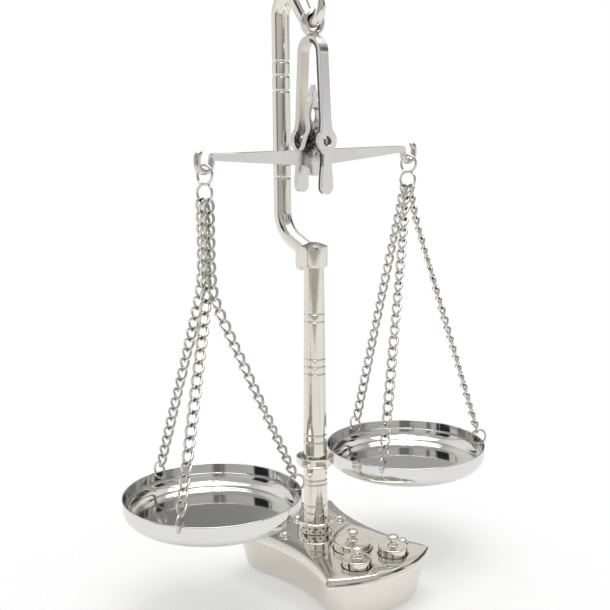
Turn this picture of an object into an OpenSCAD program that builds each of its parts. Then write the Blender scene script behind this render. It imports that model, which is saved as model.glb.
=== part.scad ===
// Free-standing balance scale: a swan-neck stand that carries a beam on a knife edge,
// with two chain-hung pans and three knobbed weights seated in the base.
// Millimetres. Origin on the floor under the column axis, X along the beam, Z up;
// the weights are at -Y, the swan neck stands off to +Y.

/* [Base] */
// Height of the polished top of the base above the floor
base_h = 36; // [32:1:44]
// Half the distance between two neighbouring corners, along the beam
corner_x = 45; // [43:1:52]
// Half the distance between the front and the back corners
corner_y = 57; // [55:1:64]
// Half the width of the base at its waist
waist_x = 33.5; // [32:0.5:38]
// How far the front and back edges bow out past the corners
end_bow = 14; // [10:1:18]
// How far the middle of the base lies in front of the column axis
base_offset = 16.5; // [15:0.5:18]
// Thickness of the top casting, from its plate to the lower edge of its lip
top_t = 8; // [7.5:0.5:10]
// How far the lip stands out past the plate
lip_out = 3.2; // [2.5:0.1:4.5]
// Wall of the hollow base casting
base_wall = 2.6; // [2:0.2:4]
// Ceiling of the base casting, under the top casting
base_ceiling = 4; // [3:0.5:6]
// How much narrower the base casting is at the floor than under the lip
base_taper = 3.6; // [2:0.2:6]
// Radius of the upright corners of the base casting
base_corner_r = 14; // [10:1:18]
// Thickness of the pad under the base
pad_t = 1.5; // [1:0.5:3]

/* [Screws] */
// Diameter of a domed screw head
screw_head_d = 9; // [6:0.5:9.5]
// Height of a domed screw head
screw_head_h = 3.4; // [2.2:0.2:4]
// Diameter of a screw's shank
screw_d = 3; // [2.5:0.5:4]
// Distance of the screws from the column axis
screw_reach = 26.4; // [24:0.2:28]

/* [Weights] */
// Diameter of the large weight
large_d = 28; // [24:1:30]
// Diameter of a small weight
small_d = 21; // [18:1:23]
// How far a weight's body stands above the plate
weight_proud = 5.6; // [4:0.2:9]
// Depth of a weight's recess
recess_depth = 5; // [4:0.5:6]
// Gap round a weight in its recess
recess_gap = 0.8; // [0.5:0.1:1.2]
// Height of a weight's neck and knob above its body
knob_h = 8.6; // [7:0.2:12]
// Diameter of a weight's knob
knob_d = 8.8; // [7:0.2:11]
// Diameter of a weight's neck under the knob
knob_neck_d = 4.4; // [3:0.2:5.6]
// How far in front of the column axis the large weight stands
large_y = 44; // [42:1:46]
// How far in front of the column axis the small weights stand
small_y = 69; // [68:1:71]
// Distance of a small weight from the middle plane
small_x = 16.6; // [15:0.2:18]

/* [Column] */
// Diameter of the column where it leaves the base
column_d = 18.8; // [17:0.2:21]
// Diameter of the column under the cap
column_top_d = 14.4; // [13.4:0.2:16]
// Height of the column above the plate, up to the cap
column_h = 200; // [185:1:215]
// Diameter of the foot collar
foot_d = 27.2; // [25:0.2:29]
// Height of the foot collar
foot_h = 8; // [6:0.5:10]
// Diameter of the dished flange
flange_d = 28.2; // [24:0.2:32]
// Height of the flange's seat above the plate
flange_z = 50.5; // [46:0.5:56]
// Height of the flange, from its seat to its rim
flange_h = 7.6; // [6:0.2:9]
// Width of a turned groove
groove_w = 1.5; // [1:0.1:2]
// Depth of a turned groove
groove_depth = 0.55; // [0.3:0.05:0.8]
// Diameter of the tie rod inside the column
rod_d = 6; // [5:0.5:7]
// Gap round the tie rod in every bore that it passes
rod_clearance = 0.2; // [0.1:0.05:0.4]

/* [Swan neck] */
// Diameter of the swan neck's round bar
neck_d = 12.7; // [11:0.1:14]
// Distance of the upright bar behind the column axis
neck_y = 38; // [36:1:44]
// Diameter of the cap on the column
cap_d = 19.8; // [18:0.2:21]
// Height of the cap
cap_h = 15; // [14:0.5:18]
// Centre-line radius of the elbow over the cap
elbow_r = 20; // [18:1:22]
// Height of the hook's seat above the plate, at the bar's centre line
hook_z = 371; // [366:0.5:380]
// Centre-line radius of the hook
hook_r = 10; // [9.6:0.1:11]
// Diameter of the bar at the hook's seat
hook_d = 9.4; // [8:0.2:9.6]
// Diameter of the bar at the hook's tip
tip_d = 5; // [4:0.5:7]
// Lean of the limb that comes down into the hook, from upright
limb_lean = 38; // [34:1:42]
// Centre-line radius of the bend at the very top
crook_r = 12.6; // [11:0.1:13.4]

/* [Shackle] */
// Centre-line radius of the shackle's eye
eye_r = 7.6; // [7.4:0.1:8.2]
// Thickness of the eye's bar, across its rounded section
eye_t = 4; // [3.4:0.1:4.2]
// Gap between the inner faces of the legs at the bow
fork_gap = 16.8; // [15:0.2:19]
// Gap between the inner faces of the cheeks
cheek_gap = 23.6; // [21:0.2:25]
// Thickness of the shackle's flat bar
fork_t = 4.8; // [4:0.2:6]
// Width of the legs
leg_w = 7.6; // [6:0.2:9]
// Diameter of the round cheeks
cheek_d = 16.6; // [15:0.2:18]
// Diameter of the bearing holes in the cheeks
bearing_d = 6.6; // [6.4:0.1:7.4]
// Height of the bearing holes above the plate
bearing_z = 289.7; // [280:0.5:292]
// Length of the tongues, from the bearing holes to their tips
tongue_l = 37; // [33:0.5:42]
// Diameter of the round ends of the tongues
tongue_d = 10; // [8:0.2:11]

/* [Beam] */
// Distance of each pan's bearing from the middle of the beam
arm_l = 90; // [84:1:100]
// Thickness of the beam's plate
beam_t = 5.4; // [4.5:0.1:6.5]
// Depth of the beam beside its hub
beam_depth = 10.4; // [9:0.2:12]
// Depth of the beam at its ends
beam_end_depth = 4.8; // [4:0.2:6]
// How far the top of the beam lies under the bearing holes' axis
beam_drop = 6.3; // [5:0.1:8]
// Height of the knife edge's section
knife_h = 4.8; // [4:0.1:5]
// Width of the knife edge's section at its back
knife_w = 2.4; // [2:0.1:2.6]
// Height of the pointer's tip above the bearing holes' axis
pointer_h = 38.5; // [34:0.5:42]
// Depth of the pendant's tip below the bearing holes' axis
pendant_h = 25; // [22:0.5:28]
// Width of the open end hooks, inside
end_hook_gap = 6.2; // [5.8:0.1:7]
// Thickness of the open end hooks' bar
end_hook_t = 4.6; // [4:0.1:5]
// Depth of the end hooks' seats under the top of the beam
end_seat_drop = 9.4; // [8.4:0.1:10.4]
// Height of the end hooks' tips above their seats
end_tip_h = 12.2; // [11:0.2:13.4]

/* [Pans and chains] */
// Diameter of a pan's rim
pan_d = 125; // [110:1:132]
// Depth of a pan, from rim to underside
pan_depth = 17; // [14:0.5:24]
// Wall of a pan
pan_t = 1.1; // [0.8:0.1:2]
// Radius of the curve from a pan's wall to its floor
pan_curve_r = 11; // [8:0.5:13]
// Diameter of the wire of the hooks and rings
wire_d = 1.8; // [1.4:0.1:2]
// Centre-line radius of each loop of an S-hook
loop_r = 6.3; // [6.1:0.1:7]
// How far the S-hooks stand turned from square to the beam
loop_turn = 18; // [0:1:20]
// Centre-line radius of a pan's ring
ring_r = 5.85; // [5.2:0.05:6.5]
// Depth of the ring holes below the rim
ring_hole_drop = 4.4; // [4:0.1:5.4]
// Diameter of a chain link's wire
link_wire_d = 1.7; // [1.4:0.1:1.8]
// Inner length of a chain link
link_l = 8.3; // [8:0.05:8.6]
// Outer width of a chain link
link_w = 8; // [7.6:0.1:8.6]
// Number of links in a chain, always odd
link_count = 25; // [21:2:25]
// Play between neighbouring links
link_play = 0.1; // [0.06:0.02:0.2]
// Turn of the left pan about its own upright axis
left_pan_turn = 8; // [-15:1:15]
// Turn of the right pan about its own upright axis
right_pan_turn = 2; // [-15:1:15]

/* [Hidden] */
$fn = 64;

polished = [0.86, 0.84, 0.79];
satin = [0.80, 0.80, 0.79];
chain_grey = [0.72, 0.71, 0.68];
steel = [0.55, 0.56, 0.58];
felt = [0.10, 0.10, 0.11];

// Slack used where a cut must break cleanly through a face
cut = 1;
// Standing gap between faces that only rest against each other
seat = 0.02;

// Points along an arc in a plane, from one angle to another
function arc(c, r, a0, a1, n) =
    [for (i = [0:n]) let (a = a0 + (a1 - a0) * i / n) c + r * [cos(a), sin(a)]];
function unit(v) = v / norm(v);

// The base's outline is four arcs: hollow sides and bowed ends, met by round corners
side_r = (corner_y * corner_y + pow(corner_x - waist_x, 2)) / (2 * (corner_x - waist_x));
end_r = (corner_x * corner_x + end_bow * end_bow) / (2 * end_bow);
side_cx = waist_x + side_r;
end_cy = corner_y + end_bow - end_r;

// Centre of the corner arc of radius rc on the outline grown by d
function corner_centre(d, rc) =
    let (
        a = side_r - d + rc,
        b = end_r + d - rc,
        c = norm([side_cx, end_cy]),
        u = [-side_cx, end_cy] / c,
        along = (a * a - b * b + c * c) / (2 * c),
        off = sqrt(a * a - along * along)
    )
    [side_cx, 0] + along * u + off * [u[1], -u[0]];

// One quarter of the outline, from the waist round to the middle of an end
function outline_quarter(d, rc) =
    let (
        k = corner_centre(d, rc),
        from_side = k - [side_cx, 0],
        from_end = k - [0, end_cy],
        a_side = atan2(from_side[1], from_side[0]),
        a_end = atan2(from_end[1], from_end[0])
    )
    concat(
        arc([side_cx, 0], side_r - d, 180, a_side, 6),
        arc(k, rc, a_side - 180, a_end, 6),
        [for (i = [1:5]) [0, end_cy] + (end_r + d) * [cos(a_end + (90 - a_end) * i / 6),
                                                      sin(a_end + (90 - a_end) * i / 6)]]
    );
function outline(d, rc) =
    let (q = outline_quarter(d, rc), n = len(q), top = [0, end_cy + end_r + d])
    concat(
        q, [top], [for (i = [n - 1:-1:1]) [-q[i][0], q[i][1]]],
        [for (p = q) [-p[0], -p[1]]], [-top], [for (i = [n - 1:-1:1]) [q[i][0], -q[i][1]]]
    );

// A solid through the base's outline at several levels, each [height, growth, corner radius]
module base_loft(levels) {
    rings = [for (l = levels) [for (p = outline(l[1], l[2])) [p[0], p[1] - base_offset, l[0]]]];
    n = len(rings[0]);
    m = len(rings);
    polyhedron(
        points = [for (r = rings) each r],
        faces = concat(
            [[for (i = [0:n - 1]) i]],
            [for (k = [0:m - 2], i = [0:n - 1]) let (j = (i + 1) % n)
                [k * n + i, (k + 1) * n + i, (k + 1) * n + j, k * n + j]],
            [[for (i = [n - 1:-1:0]) (m - 1) * n + i]]
        ),
        convexity = 6
    );
}

// Heights of the base's own parts
lip_z = base_h - top_t;
under_ceiling = lip_z - base_ceiling;
foot_round = 7;
// How far the body's top stands out from the plate's outline
body_out = lip_out - 2.2;
// How far a screw's end shows below the ceiling
screw_end = 2;
// Width of the well in the pad, below the rod's nut
nut_well_d = 22;
pad_margin = 1;

module base_casting() {
    color(polished) difference() {
        base_loft([
            [pad_t, body_out - base_taper - foot_round * 0.75, base_corner_r],
            [pad_t + foot_round * 0.14, body_out - base_taper - foot_round * 0.38, base_corner_r],
            [pad_t + foot_round * 0.42, body_out - base_taper - foot_round * 0.12, base_corner_r],
            [pad_t + foot_round, body_out - base_taper, base_corner_r],
            [lip_z - seat, body_out, base_corner_r]
        ]);
        base_loft([
            [pad_t - cut, body_out - base_taper - foot_round, base_corner_r],
            [pad_t + foot_round, body_out - base_taper - base_wall, base_corner_r],
            [under_ceiling, body_out - base_wall - 1, base_corner_r]
        ]);
        translate([0, 0, under_ceiling - cut])
            cylinder(h = base_ceiling + 2 * cut, d = rod_d + 2 * rod_clearance);
        at_screws() translate([0, 0, under_ceiling - screw_end - rod_clearance])
            cylinder(h = base_ceiling + screw_end + rod_clearance + cut, d = screw_d + 2 * rod_clearance);
    }
}

module base_pad() {
    inset = body_out - base_taper - foot_round * 0.75 - pad_margin;
    color(felt) difference() {
        translate([0, -base_offset]) linear_extrude(pad_t - seat)
            polygon(outline(inset, base_corner_r));
        translate([0, 0, -cut]) cylinder(h = pad_t + 2 * cut, d = nut_well_d);
    }
}

// Screws beside and behind the column, and one beside the right small weight
screw_places = [
    [-screw_reach, 3.5], [screw_reach, 3.5], [0, screw_reach - 2.8], [34.8, -59]
];
module at_screws() {
    for (p = screw_places) translate([p[0], p[1], 0]) children();
}

module top_casting() {
    color(polished) difference() {
        base_loft([
            [lip_z, lip_out - 0.6, 4],
            [lip_z + 0.8, lip_out, 4],
            [lip_z + top_t * 0.35, lip_out * 0.92, 4],
            [base_h - top_t * 0.25, lip_out * 0.5, 3.4],
            [base_h, 0, 3]
        ]);
        translate([0, -large_y, base_h - recess_depth])
            cylinder(h = recess_depth + cut, d = large_d + 2 * recess_gap);
        for (s = [-1, 1]) translate([s * small_x, -small_y, base_h - recess_depth])
            cylinder(h = recess_depth + cut, d = small_d + 2 * recess_gap);
        translate([0, 0, lip_z - cut])
            cylinder(h = top_t + 2 * cut, d = rod_d + 2 * rod_clearance);
        at_screws() translate([0, 0, lip_z - cut])
            cylinder(h = top_t + 2 * cut, d = screw_d + 2 * rod_clearance);
    }
}

// A domed screw seen from the plate up, with its shank through both castings
module top_screws() {
    dome_r = (pow(screw_head_d / 2, 2) + screw_head_h * screw_head_h) / (2 * screw_head_h);
    edge = acos((dome_r - screw_head_h) / dome_r);
    head = concat([[0, 0]], arc([0, screw_head_h - dome_r], dome_r, 90 - edge, 90, 8));
    color(polished) at_screws() {
        translate([0, 0, base_h + seat]) rotate_extrude() polygon(head);
        translate([0, 0, under_ceiling - screw_end])
            cylinder(h = base_h - under_ceiling + screw_end + 1, d = screw_d);
    }
}

// Radius of the column's taper at a height above the plate
function column_r(z) = (column_d - (column_d - column_top_d) * z / column_h) / 2;

// Outline of a groove turned into the taper at height g, read upwards
function groove(g) = [
    [column_r(g), g - groove_w / 2],
    [column_r(g) - groove_depth, g - groove_w / 6],
    [column_r(g) - groove_depth, g + groove_w / 6],
    [column_r(g), g + groove_w / 2]
];

// A length of the column from one height above the plate to another, with its grooves
module column_length(z0, z1, grooves) {
    bore = rod_d / 2 + rod_clearance;
    color(polished) translate([0, 0, base_h]) rotate_extrude() polygon(concat(
        [[bore, z0], [column_r(z0), z0]],
        [for (g = grooves) each groove(g)],
        [[column_r(z1), z1], [bore, z1]]
    ));
}

module column_foot() {
    r = foot_d / 2;
    round_r = 2.4;
    bore = rod_d / 2 + rod_clearance;
    color(polished) translate([0, 0, base_h + seat]) rotate_extrude() polygon(concat(
        [[bore, 0], [r - 0.5, 0], [r, 0.6]],
        arc([r - round_r, foot_h - round_r], round_r, 0, 90, 6),
        [[column_d / 2 + 0.8, foot_h], [bore, foot_h]]
    ));
}

groove_pitch = 5.6;
module column_lower() {
    column_length(foot_h + 2 * seat, flange_z - seat, [15, 15 + groove_pitch, 37.2, 40.6]);
}
flange_seat_h = 2.6;
module column_upper() {
    column_length(flange_z + flange_seat_h + seat, column_h - seat, [
        69.5, 69.5 + groove_pitch, 128.4, 128.4 + groove_pitch, 162.4, 162.4 + groove_pitch
    ]);
}

// The dished flange is clamped between the two lengths of the column
module column_flange() {
    r = flange_d / 2;
    seat_r = column_r(flange_z) + 0.9;
    rim_t = 1.2;
    bore = rod_d / 2 + rod_clearance;
    color(polished) translate([0, 0, base_h + flange_z]) rotate_extrude() polygon(concat(
        [[bore, 0], [seat_r, 0]],
        arc([seat_r, flange_h * 0.62], flange_h * 0.62, -80, -20, 6),
        arc([r - rim_t / 2, flange_h - rim_t / 2], rim_t / 2, -30, 180, 8),
        [[seat_r + 1.2, flange_seat_h + 0.8], [seat_r - 0.3, flange_seat_h], [bore, flange_seat_h]]
    ));
}

rod_bottom = under_ceiling - 11;
rod_top = base_h + column_h + cap_h * 0.62;
module tie_rod() {
    color(steel) translate([0, 0, rod_bottom]) cylinder(h = rod_top - rod_bottom, d = rod_d);
}
washer_t = 1.6;
nut_t = 5;
module tie_washer() {
    color(steel) translate([0, 0, under_ceiling - washer_t - seat]) difference() {
        cylinder(h = washer_t, d = rod_d * 2.6);
        translate([0, 0, -cut]) cylinder(h = washer_t + 2 * cut, d = rod_d + 2 * rod_clearance);
    }
}
module tie_nut() {
    color(steel) translate([0, 0, under_ceiling - washer_t - nut_t - 2 * seat]) difference() {
        cylinder(h = nut_t, d = rod_d * 2, $fn = 6);
        translate([0, 0, -cut]) cylinder(h = nut_t + 2 * cut, d = rod_d + 0.04);
    }
}

// Places of the swan neck in the upright plane through the column axis, as [y, z]
cap_z = base_h + column_h;
elbow_lean = 50;
elbow_c = [neck_y - elbow_r, cap_z + cap_h + elbow_r - 3];
elbow_end = elbow_c + elbow_r * [cos(elbow_lean), -sin(elbow_lean)];
hook_c = [0, base_h + hook_z + hook_r];
limb_dir = [sin(limb_lean), cos(limb_lean)];
limb_low = hook_c + hook_r * [cos(limb_lean), -sin(limb_lean)];
// The top bend touches the upright bar and the leaning limb
crook_y = neck_y - crook_r;
crook_z = limb_low[1] + ((crook_y - limb_low[0]) * cos(limb_lean) - crook_r) / sin(limb_lean);
limb_high = [crook_y, crook_z] + crook_r * [-cos(limb_lean), sin(limb_lean)];
neck_r = neck_d / 2;
// Grooves round the upright bar, as heights above the plate
neck_grooves = [262, 272, 324.3, 335, 345];

// The bar is followed from its heel in the cap to the hook's tip as a list of sections,
// each [place, direction, radius] in the upright plane
heel_y = 5;
heel_drop = 4.8;
bar_run = (elbow_end[0] - heel_y) / sin(elbow_lean);
heel_dir = [sin(elbow_lean), cos(elbow_lean)];
function bend_sections(c, r, a0, a1, n) = [
    for (i = [0:n]) let (a = a0 + (a1 - a0) * i / n)
        [c + r * [cos(a), sin(a)], [-sin(a), cos(a)], neck_r]
];
function groove_sections(z) = [
    for (g = [[-1.3, 0], [-0.45, groove_depth], [0.45, groove_depth], [1.3, 0]])
        [[neck_y, z + g[0]], [0, 1], neck_r - g[1]]
];

// Along the limb s is 0 at the top bend, 1 where the limb meets the hook, 2 at the hook's
// seat and 3 at its tip
hook_turn = 195;
function hook_angle(s) = s < 2
    ? -limb_lean - (s - 1) * (90 - limb_lean)
    : -90 - (s - 2) * (hook_turn - 90);
function limb_point(s) = s < 1
    ? limb_high * (1 - s) + limb_low * s
    : hook_c + hook_r * [cos(hook_angle(s)), sin(hook_angle(s))];
function limb_along(s) = s < 1 ? -limb_dir : [sin(hook_angle(s)), -cos(hook_angle(s))];
function limb_radius(s) = s < 2
    ? neck_r + (hook_d / 2 - neck_r) * s / 2
    : hook_d / 2 + (tip_d / 2 - hook_d / 2) * (s - 2);
limb_steps = concat([0.5], [for (i = [0:5]) 1 + i / 6], [for (i = [0:12]) 2 + i / 12]);
tip_end = limb_point(3);
tip_dir = limb_along(3);
bar_sections = concat(
    [[elbow_end - heel_dir * bar_run, heel_dir, neck_r]],
    bend_sections(elbow_c, elbow_r, -elbow_lean, 0, 8),
    [for (g = neck_grooves) each groove_sections(base_h + g)],
    bend_sections([crook_y, crook_z], crook_r, 0, 180 - limb_lean, 16),
    [for (s = limb_steps) [limb_point(s), limb_along(s), limb_radius(s)]],
    [for (a = [26, 52, 78]) [tip_end + tip_dir * tip_d / 2 * sin(a), tip_dir, tip_d / 2 * cos(a)]]
);

module bent_bar() {
    sides = 32;
    m = len(bar_sections);
    polyhedron(
        points = [for (b = bar_sections, k = [0:sides - 1])
            let (a = 360 * k / sides, yz = b[0] + [b[1][1], -b[1][0]] * b[2] * sin(a))
                [b[2] * cos(a), yz[0], yz[1]]],
        faces = concat(
            [[for (k = [sides - 1:-1:0]) k]],
            [for (i = [0:m - 2], k = [0:sides - 1]) let (j = (k + 1) % sides)
                [i * sides + k, i * sides + j, (i + 1) * sides + j, (i + 1) * sides + k]],
            [[for (k = [0:sides - 1]) (m - 1) * sides + k]]
        ),
        convexity = 8
    );
}

// The bar enters the cap from behind; its heel is faced off just under the cap
module swan_neck() {
    color(polished) difference() {
        bent_bar();
        translate([-cap_d, -cap_d, cap_z - heel_drop - 2 * neck_d])
            cube([2 * cap_d, 4 * cap_d, 2 * neck_d]);
        translate([0, 0, cap_z - heel_drop - cut])
            cylinder(h = heel_drop + cut, r = column_r(column_h - heel_drop) + seat);
        translate([0, 0, cap_z - cut])
            cylinder(h = rod_top - cap_z + cut + seat, d = rod_d + 2 * rod_clearance);
    }
}

module neck_cap() {
    color(polished) difference() {
        translate([0, 0, cap_z]) cylinder(h = cap_h, d = cap_d);
        translate([0, 0, cap_z - cut])
            cylinder(h = rod_top - cap_z + cut + seat, d = rod_d + 2 * rod_clearance);
        translate([0, elbow_end[0], elbow_end[1]]) rotate([180 - elbow_lean, 0, 0])
            cylinder(h = bar_run + seat, r = neck_r + seat);
    }
}

// Heights of the hanging parts above the floor
hang_gap = 0.05;
eye_gap = 0.25;
eye_hole_r = eye_r - eye_t / 2;
eye_z = base_h + hook_z + hook_d / 2 + eye_gap - eye_hole_r;
bow_top = eye_z - eye_r - eye_t / 2 + 0.8;
pivot_z = base_h + bearing_z;
knife_z = pivot_z - bearing_d / 2 + hang_gap;
beam_top = pivot_z - beam_drop;
end_seat = beam_top - end_seat_drop;

// Half of the bow seen along the beam: a flat bar, its legs splayed down to the cheeks
function bow_side(out, r) = concat(
    [[cheek_gap / 2 + out, pivot_z], [cheek_gap / 2 + out, pivot_z + cheek_d / 2]],
    arc([fork_gap / 2 + out - r, bow_top - fork_t + out - r], r, 4, 90, 8)
);
function turned_back(half) = [for (i = [len(half) - 1:-1:0]) half[i]];
function mirrored(half) = concat(half, [for (p = turned_back(half)) if (p[0] > 0) [-p[0], p[1]]]);

// A tongue seen from the front: waisted under the cheek, with a round end
module tongue() {
    end_r = tongue_d / 2;
    end_z = pivot_z - tongue_l + end_r;
    waist = leg_w * 0.43;
    run = (pivot_z - end_z) * 0.85;
    polygon(mirrored(concat(
        [for (i = [6:-1:1]) let (t = i / 6)
            [waist + (end_r - waist) * pow(cos(90 * t), 2), end_z + run * t]],
        [for (a = [0:-15:-90]) [end_r * cos(a), end_z + end_r * sin(a)]]
    )));
}

module shackle() {
    eye_depth = 6;
    root_d = 5.4;
    inner = bow_side(0, 9 - fork_t);
    color(satin) difference() {
        union() {
            rotate([90, 0, 90]) translate([0, 0, -leg_w / 2]) linear_extrude(leg_w)
                for (s = [0, 1]) mirror([s, 0])
                    polygon(concat(
                        bow_side(fork_t, 9), [[0, bow_top], [0, bow_top - fork_t]],
                        turned_back(inner)
                    ));
            for (s = [-1, 1]) translate([0, s * (cheek_gap + fork_t) / 2, 0])
                rotate([90, 0, 0]) translate([0, 0, -fork_t / 2]) {
                    translate([0, pivot_z]) cylinder(h = fork_t, d = cheek_d);
                    linear_extrude(fork_t) tongue();
                }
            translate([0, 0, bow_top - fork_t / 2]) cylinder(h = fork_t / 2 + 1.6, d = root_d);
            translate([0, 0, eye_z]) rotate([90, 0, 0]) rotate_extrude()
                polygon([for (a = [0:30:330])
                    [eye_r + eye_t / 2 * cos(a), eye_depth / 2 * sin(a)]]);
        }
        translate([0, cheek_gap, pivot_z]) rotate([90, 0, 0])
            cylinder(h = 2 * cheek_gap, d = bearing_d);
    }
}

// Section of the knife edge, its edge down at the origin, grown by c all round
function knife_section(c) = [
    [0, -2 * c], [knife_w / 2 + c, knife_h * 0.5], [knife_w / 2 + c, knife_h + c],
    [-knife_w / 2 - c, knife_h + c], [-knife_w / 2 - c, knife_h * 0.5]
];
module knife_bar(c, half) {
    translate([0, half, knife_z]) rotate([90, 0, 0]) linear_extrude(2 * half)
        polygon(knife_section(c));
}
module knife_edge() {
    end_recess = 1;
    color(steel) knife_bar(0, cheek_gap / 2 + fork_t - end_recess);
}

// Right half of the middle of the beam, from the pointer's tip down to the pendant's
pointer_rise = pointer_h + beam_drop;
pendant_fall = pendant_h - beam_drop;
arm_start = 15;
function pointer_half() = [for (p = [
        [0, 1], [1.5, 0.925], [2.7, 0.862], [2.9, 0.83], [1.8, 0.776], [2.5, 0.74], [4.2, 0.66],
        [5.1, 0.58], [5.2, 0.49], [4.6, 0.40], [4.4, 0.33], [5.4, 0.27], [7.2, 0.20], [8.4, 0.12],
        [9.6, 0.05], [11.5, 0]
    ]) [p[0], beam_top + p[1] * pointer_rise]];
function pendant_half() = [for (p = [
        [12, 0.565], [9.2, 0.60], [6.6, 0.665], [5.4, 0.74], [5.3, 0.79], [4.6, 0.88], [3, 0.955],
        [1.2, 0.99]
    ]) [p[0], beam_top - (p[1] > 0.56 && p[0] > 11 ? beam_depth + 0.1 : p[1] * pendant_fall)]];

// One end of the beam as an outline: the upturned open hook that carries a pan
module end_hook() {
    gap_r = end_hook_gap / 2;
    bar_r = gap_r + end_hook_t;
    centre = end_seat + gap_r;
    tip_r = end_hook_t * 0.62;
    tip_z = end_seat + end_tip_h - tip_r;
    difference() {
        union() {
            translate([arm_l, centre]) circle(r = bar_r);
            translate([arm_l - bar_r, centre]) square([end_hook_t, beam_top - centre]);
            translate([arm_l + gap_r, centre]) square([end_hook_t, tip_z - centre]);
        }
        translate([arm_l, centre]) circle(r = gap_r);
        translate([arm_l - gap_r, centre]) square([end_hook_gap, bar_r + cut]);
    }
    translate([arm_l + bar_r - tip_r, tip_z]) circle(r = tip_r);
}

module beam_plate() {
    rotate([90, 0, 0]) translate([0, 0, -beam_t / 2]) linear_extrude(beam_t) children();
}
module beam() {
    oval_w = 3.1;
    oval_h = 5.1;
    oval_z = beam_top + pointer_rise * 0.535;
    arm_end = arm_l - end_hook_gap / 2 - end_hook_t / 2;
    half = concat(
        pointer_half(),
        [[arm_end, beam_top], [arm_end, beam_top - beam_end_depth],
         [arm_start, beam_top - beam_depth]],
        pendant_half()
    );
    color(satin) difference() {
        union() {
            beam_plate() polygon(mirrored(concat(half, [[0, beam_top - pendant_fall]])));
            for (s = [0, 1]) mirror([s, 0, 0]) beam_plate() end_hook();
        }
        beam_plate_cut() polygon([for (a = [0:18:342])
            [oval_w * cos(a), oval_z + oval_h * sin(a)]]);
        knife_bar(0.02, beam_t);
    }
}
module beam_plate_cut() {
    rotate([90, 0, 0]) translate([0, 0, -beam_t]) linear_extrude(2 * beam_t) children();
}

// Places along each pan's hanging line; the wire's centre line hangs from the hook's edges
loop_half = beam_t / 2 / cos(loop_turn) + wire_d / 2 * tan(loop_turn);
loop_rise = 0.35;
// Straight run of the wire where an S-hook's two loops cross
crossing_run = 0.6;
// How far round each loop of an S-hook goes
wire_turn = 324;
loop_z = end_seat + loop_rise - sqrt(pow(loop_r - wire_d / 2, 2) - loop_half * loop_half);
low_loop_z = loop_z - 2 * loop_r;
ring_at_r = (pan_d - pan_t) / 2;
ring_lift = 0.2;
chain_l = link_count * link_l - (link_count - 1) * link_play - wire_d - 2 * hang_gap;
hang_l = chain_l + 2 * ring_r;
hang_lean = asin(ring_at_r / hang_l);
ring_hole_z = low_loop_z - loop_r - hang_l * cos(hang_lean) - ring_lift;
rim_z = ring_hole_z + ring_hole_drop;
// Places of the three chains along the hook's lower loop
link_spread = 3.2;
spread_step = [-1, -0.19, 1];
// A link on the loop's slope stands this much higher, so that the wires just clear
function slope_lift(s) = (wire_d + link_wire_d) / 2 * (1 / sqrt(1 - pow(s / loop_r, 2)) - 1);

// Azimuth of chain k on a pan turned by turn
function chain_az(turn, k) = 90 + 120 * k + turn;
// Centre of the wire that chain k's first link hangs on, from the pan's own axis
function chain_top(k) =
    let (s = link_spread * spread_step[k], x = s - crossing_run / 2)
    [
        x * sin(loop_turn), -x * cos(loop_turn),
        low_loop_z - sqrt(loop_r * loop_r - s * s) + slope_lift(s)
    ];
// Centre of the wire at the top of ring k
function ring_top(turn, k) =
    let (r = ring_at_r - 2 * ring_r * sin(hang_lean), a = chain_az(turn, k))
    [r * cos(a), r * sin(a), ring_hole_z + ring_lift + 2 * ring_r * cos(hang_lean)];

// One of the wire's loops, through angles measured from the loop's free side
module wire_arc(x, z, a0, turn) {
    translate([x, z, 0]) rotate([0, 0, a0])
        rotate_extrude(angle = turn) translate([loop_r, 0]) circle(d = wire_d);
}
module s_hook(side) {
    color(polished) translate([side * arm_l, 0, 0])
        rotate([0, 0, loop_turn - 90]) rotate([90, 0, 0]) {
            wire_arc(crossing_run / 2, loop_z, -90, wire_turn);
            wire_arc(-crossing_run / 2, low_loop_z, 90, wire_turn);
            translate([-crossing_run / 2, loop_z - loop_r, 0]) rotate([0, 90, 0])
                cylinder(h = crossing_run, d = wire_d);
        }
}

// A link lies in the YZ plane about the origin, long way up
module link() {
    mid_r = (link_w - link_wire_d) / 2;
    half_run = (link_l + link_wire_d) / 2 - mid_r;
    rotate([90, 0, 90]) for (s = [0, 180]) rotate([0, 0, s]) {
        translate([0, half_run]) rotate_extrude(angle = 180) translate([mid_r, 0])
            circle(d = link_wire_d);
        translate([mid_r, half_run, 0]) rotate([90, 0, 0])
            cylinder(h = 2 * half_run, d = link_wire_d);
    }
}

// Each link stands a quarter turn on from the last, plus a share of the difference between
// the square set that the ring asks of the last link and that the loop asks of the first
module chain(side, turn, k) {
    v = ring_top(turn, k) - chain_top(k);
    lean = acos(-v[2] / norm(v));
    az = atan2(v[1], v[0]);
    pitch = (norm(v) + wire_d + 2 * hang_gap - link_l) / (link_count - 1);
    first = atan2(cos(lean) * cos(loop_turn - az), sin(loop_turn - az));
    share = (first - 180 * round(first / 180)) / (link_count - 1);
    color(chain_grey) translate([side * arm_l, 0, 0] + chain_top(k))
        rotate([0, 0, az]) rotate([0, 180 - lean, 0])
            for (i = [0:link_count - 1])
                translate([0, 0, i * pitch + link_l / 2 - wire_d / 2 - hang_gap])
                    rotate([0, 0, (link_count - 1 - i) * (90 + share)]) link();
}

// Three rings stand through a pan's wall, each leaning the way that its chain pulls
module pan_rings(side, turn) {
    color(polished) for (k = [0:2])
        translate([side * arm_l, 0, 0]) rotate([0, 0, chain_az(turn, k)])
            translate([
                ring_at_r - ring_r * sin(hang_lean), 0,
                ring_hole_z + ring_lift + ring_r * cos(hang_lean)
            ]) rotate([90, 0, 0]) rotate_extrude() translate([ring_r, 0]) circle(d = wire_d);
}

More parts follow.
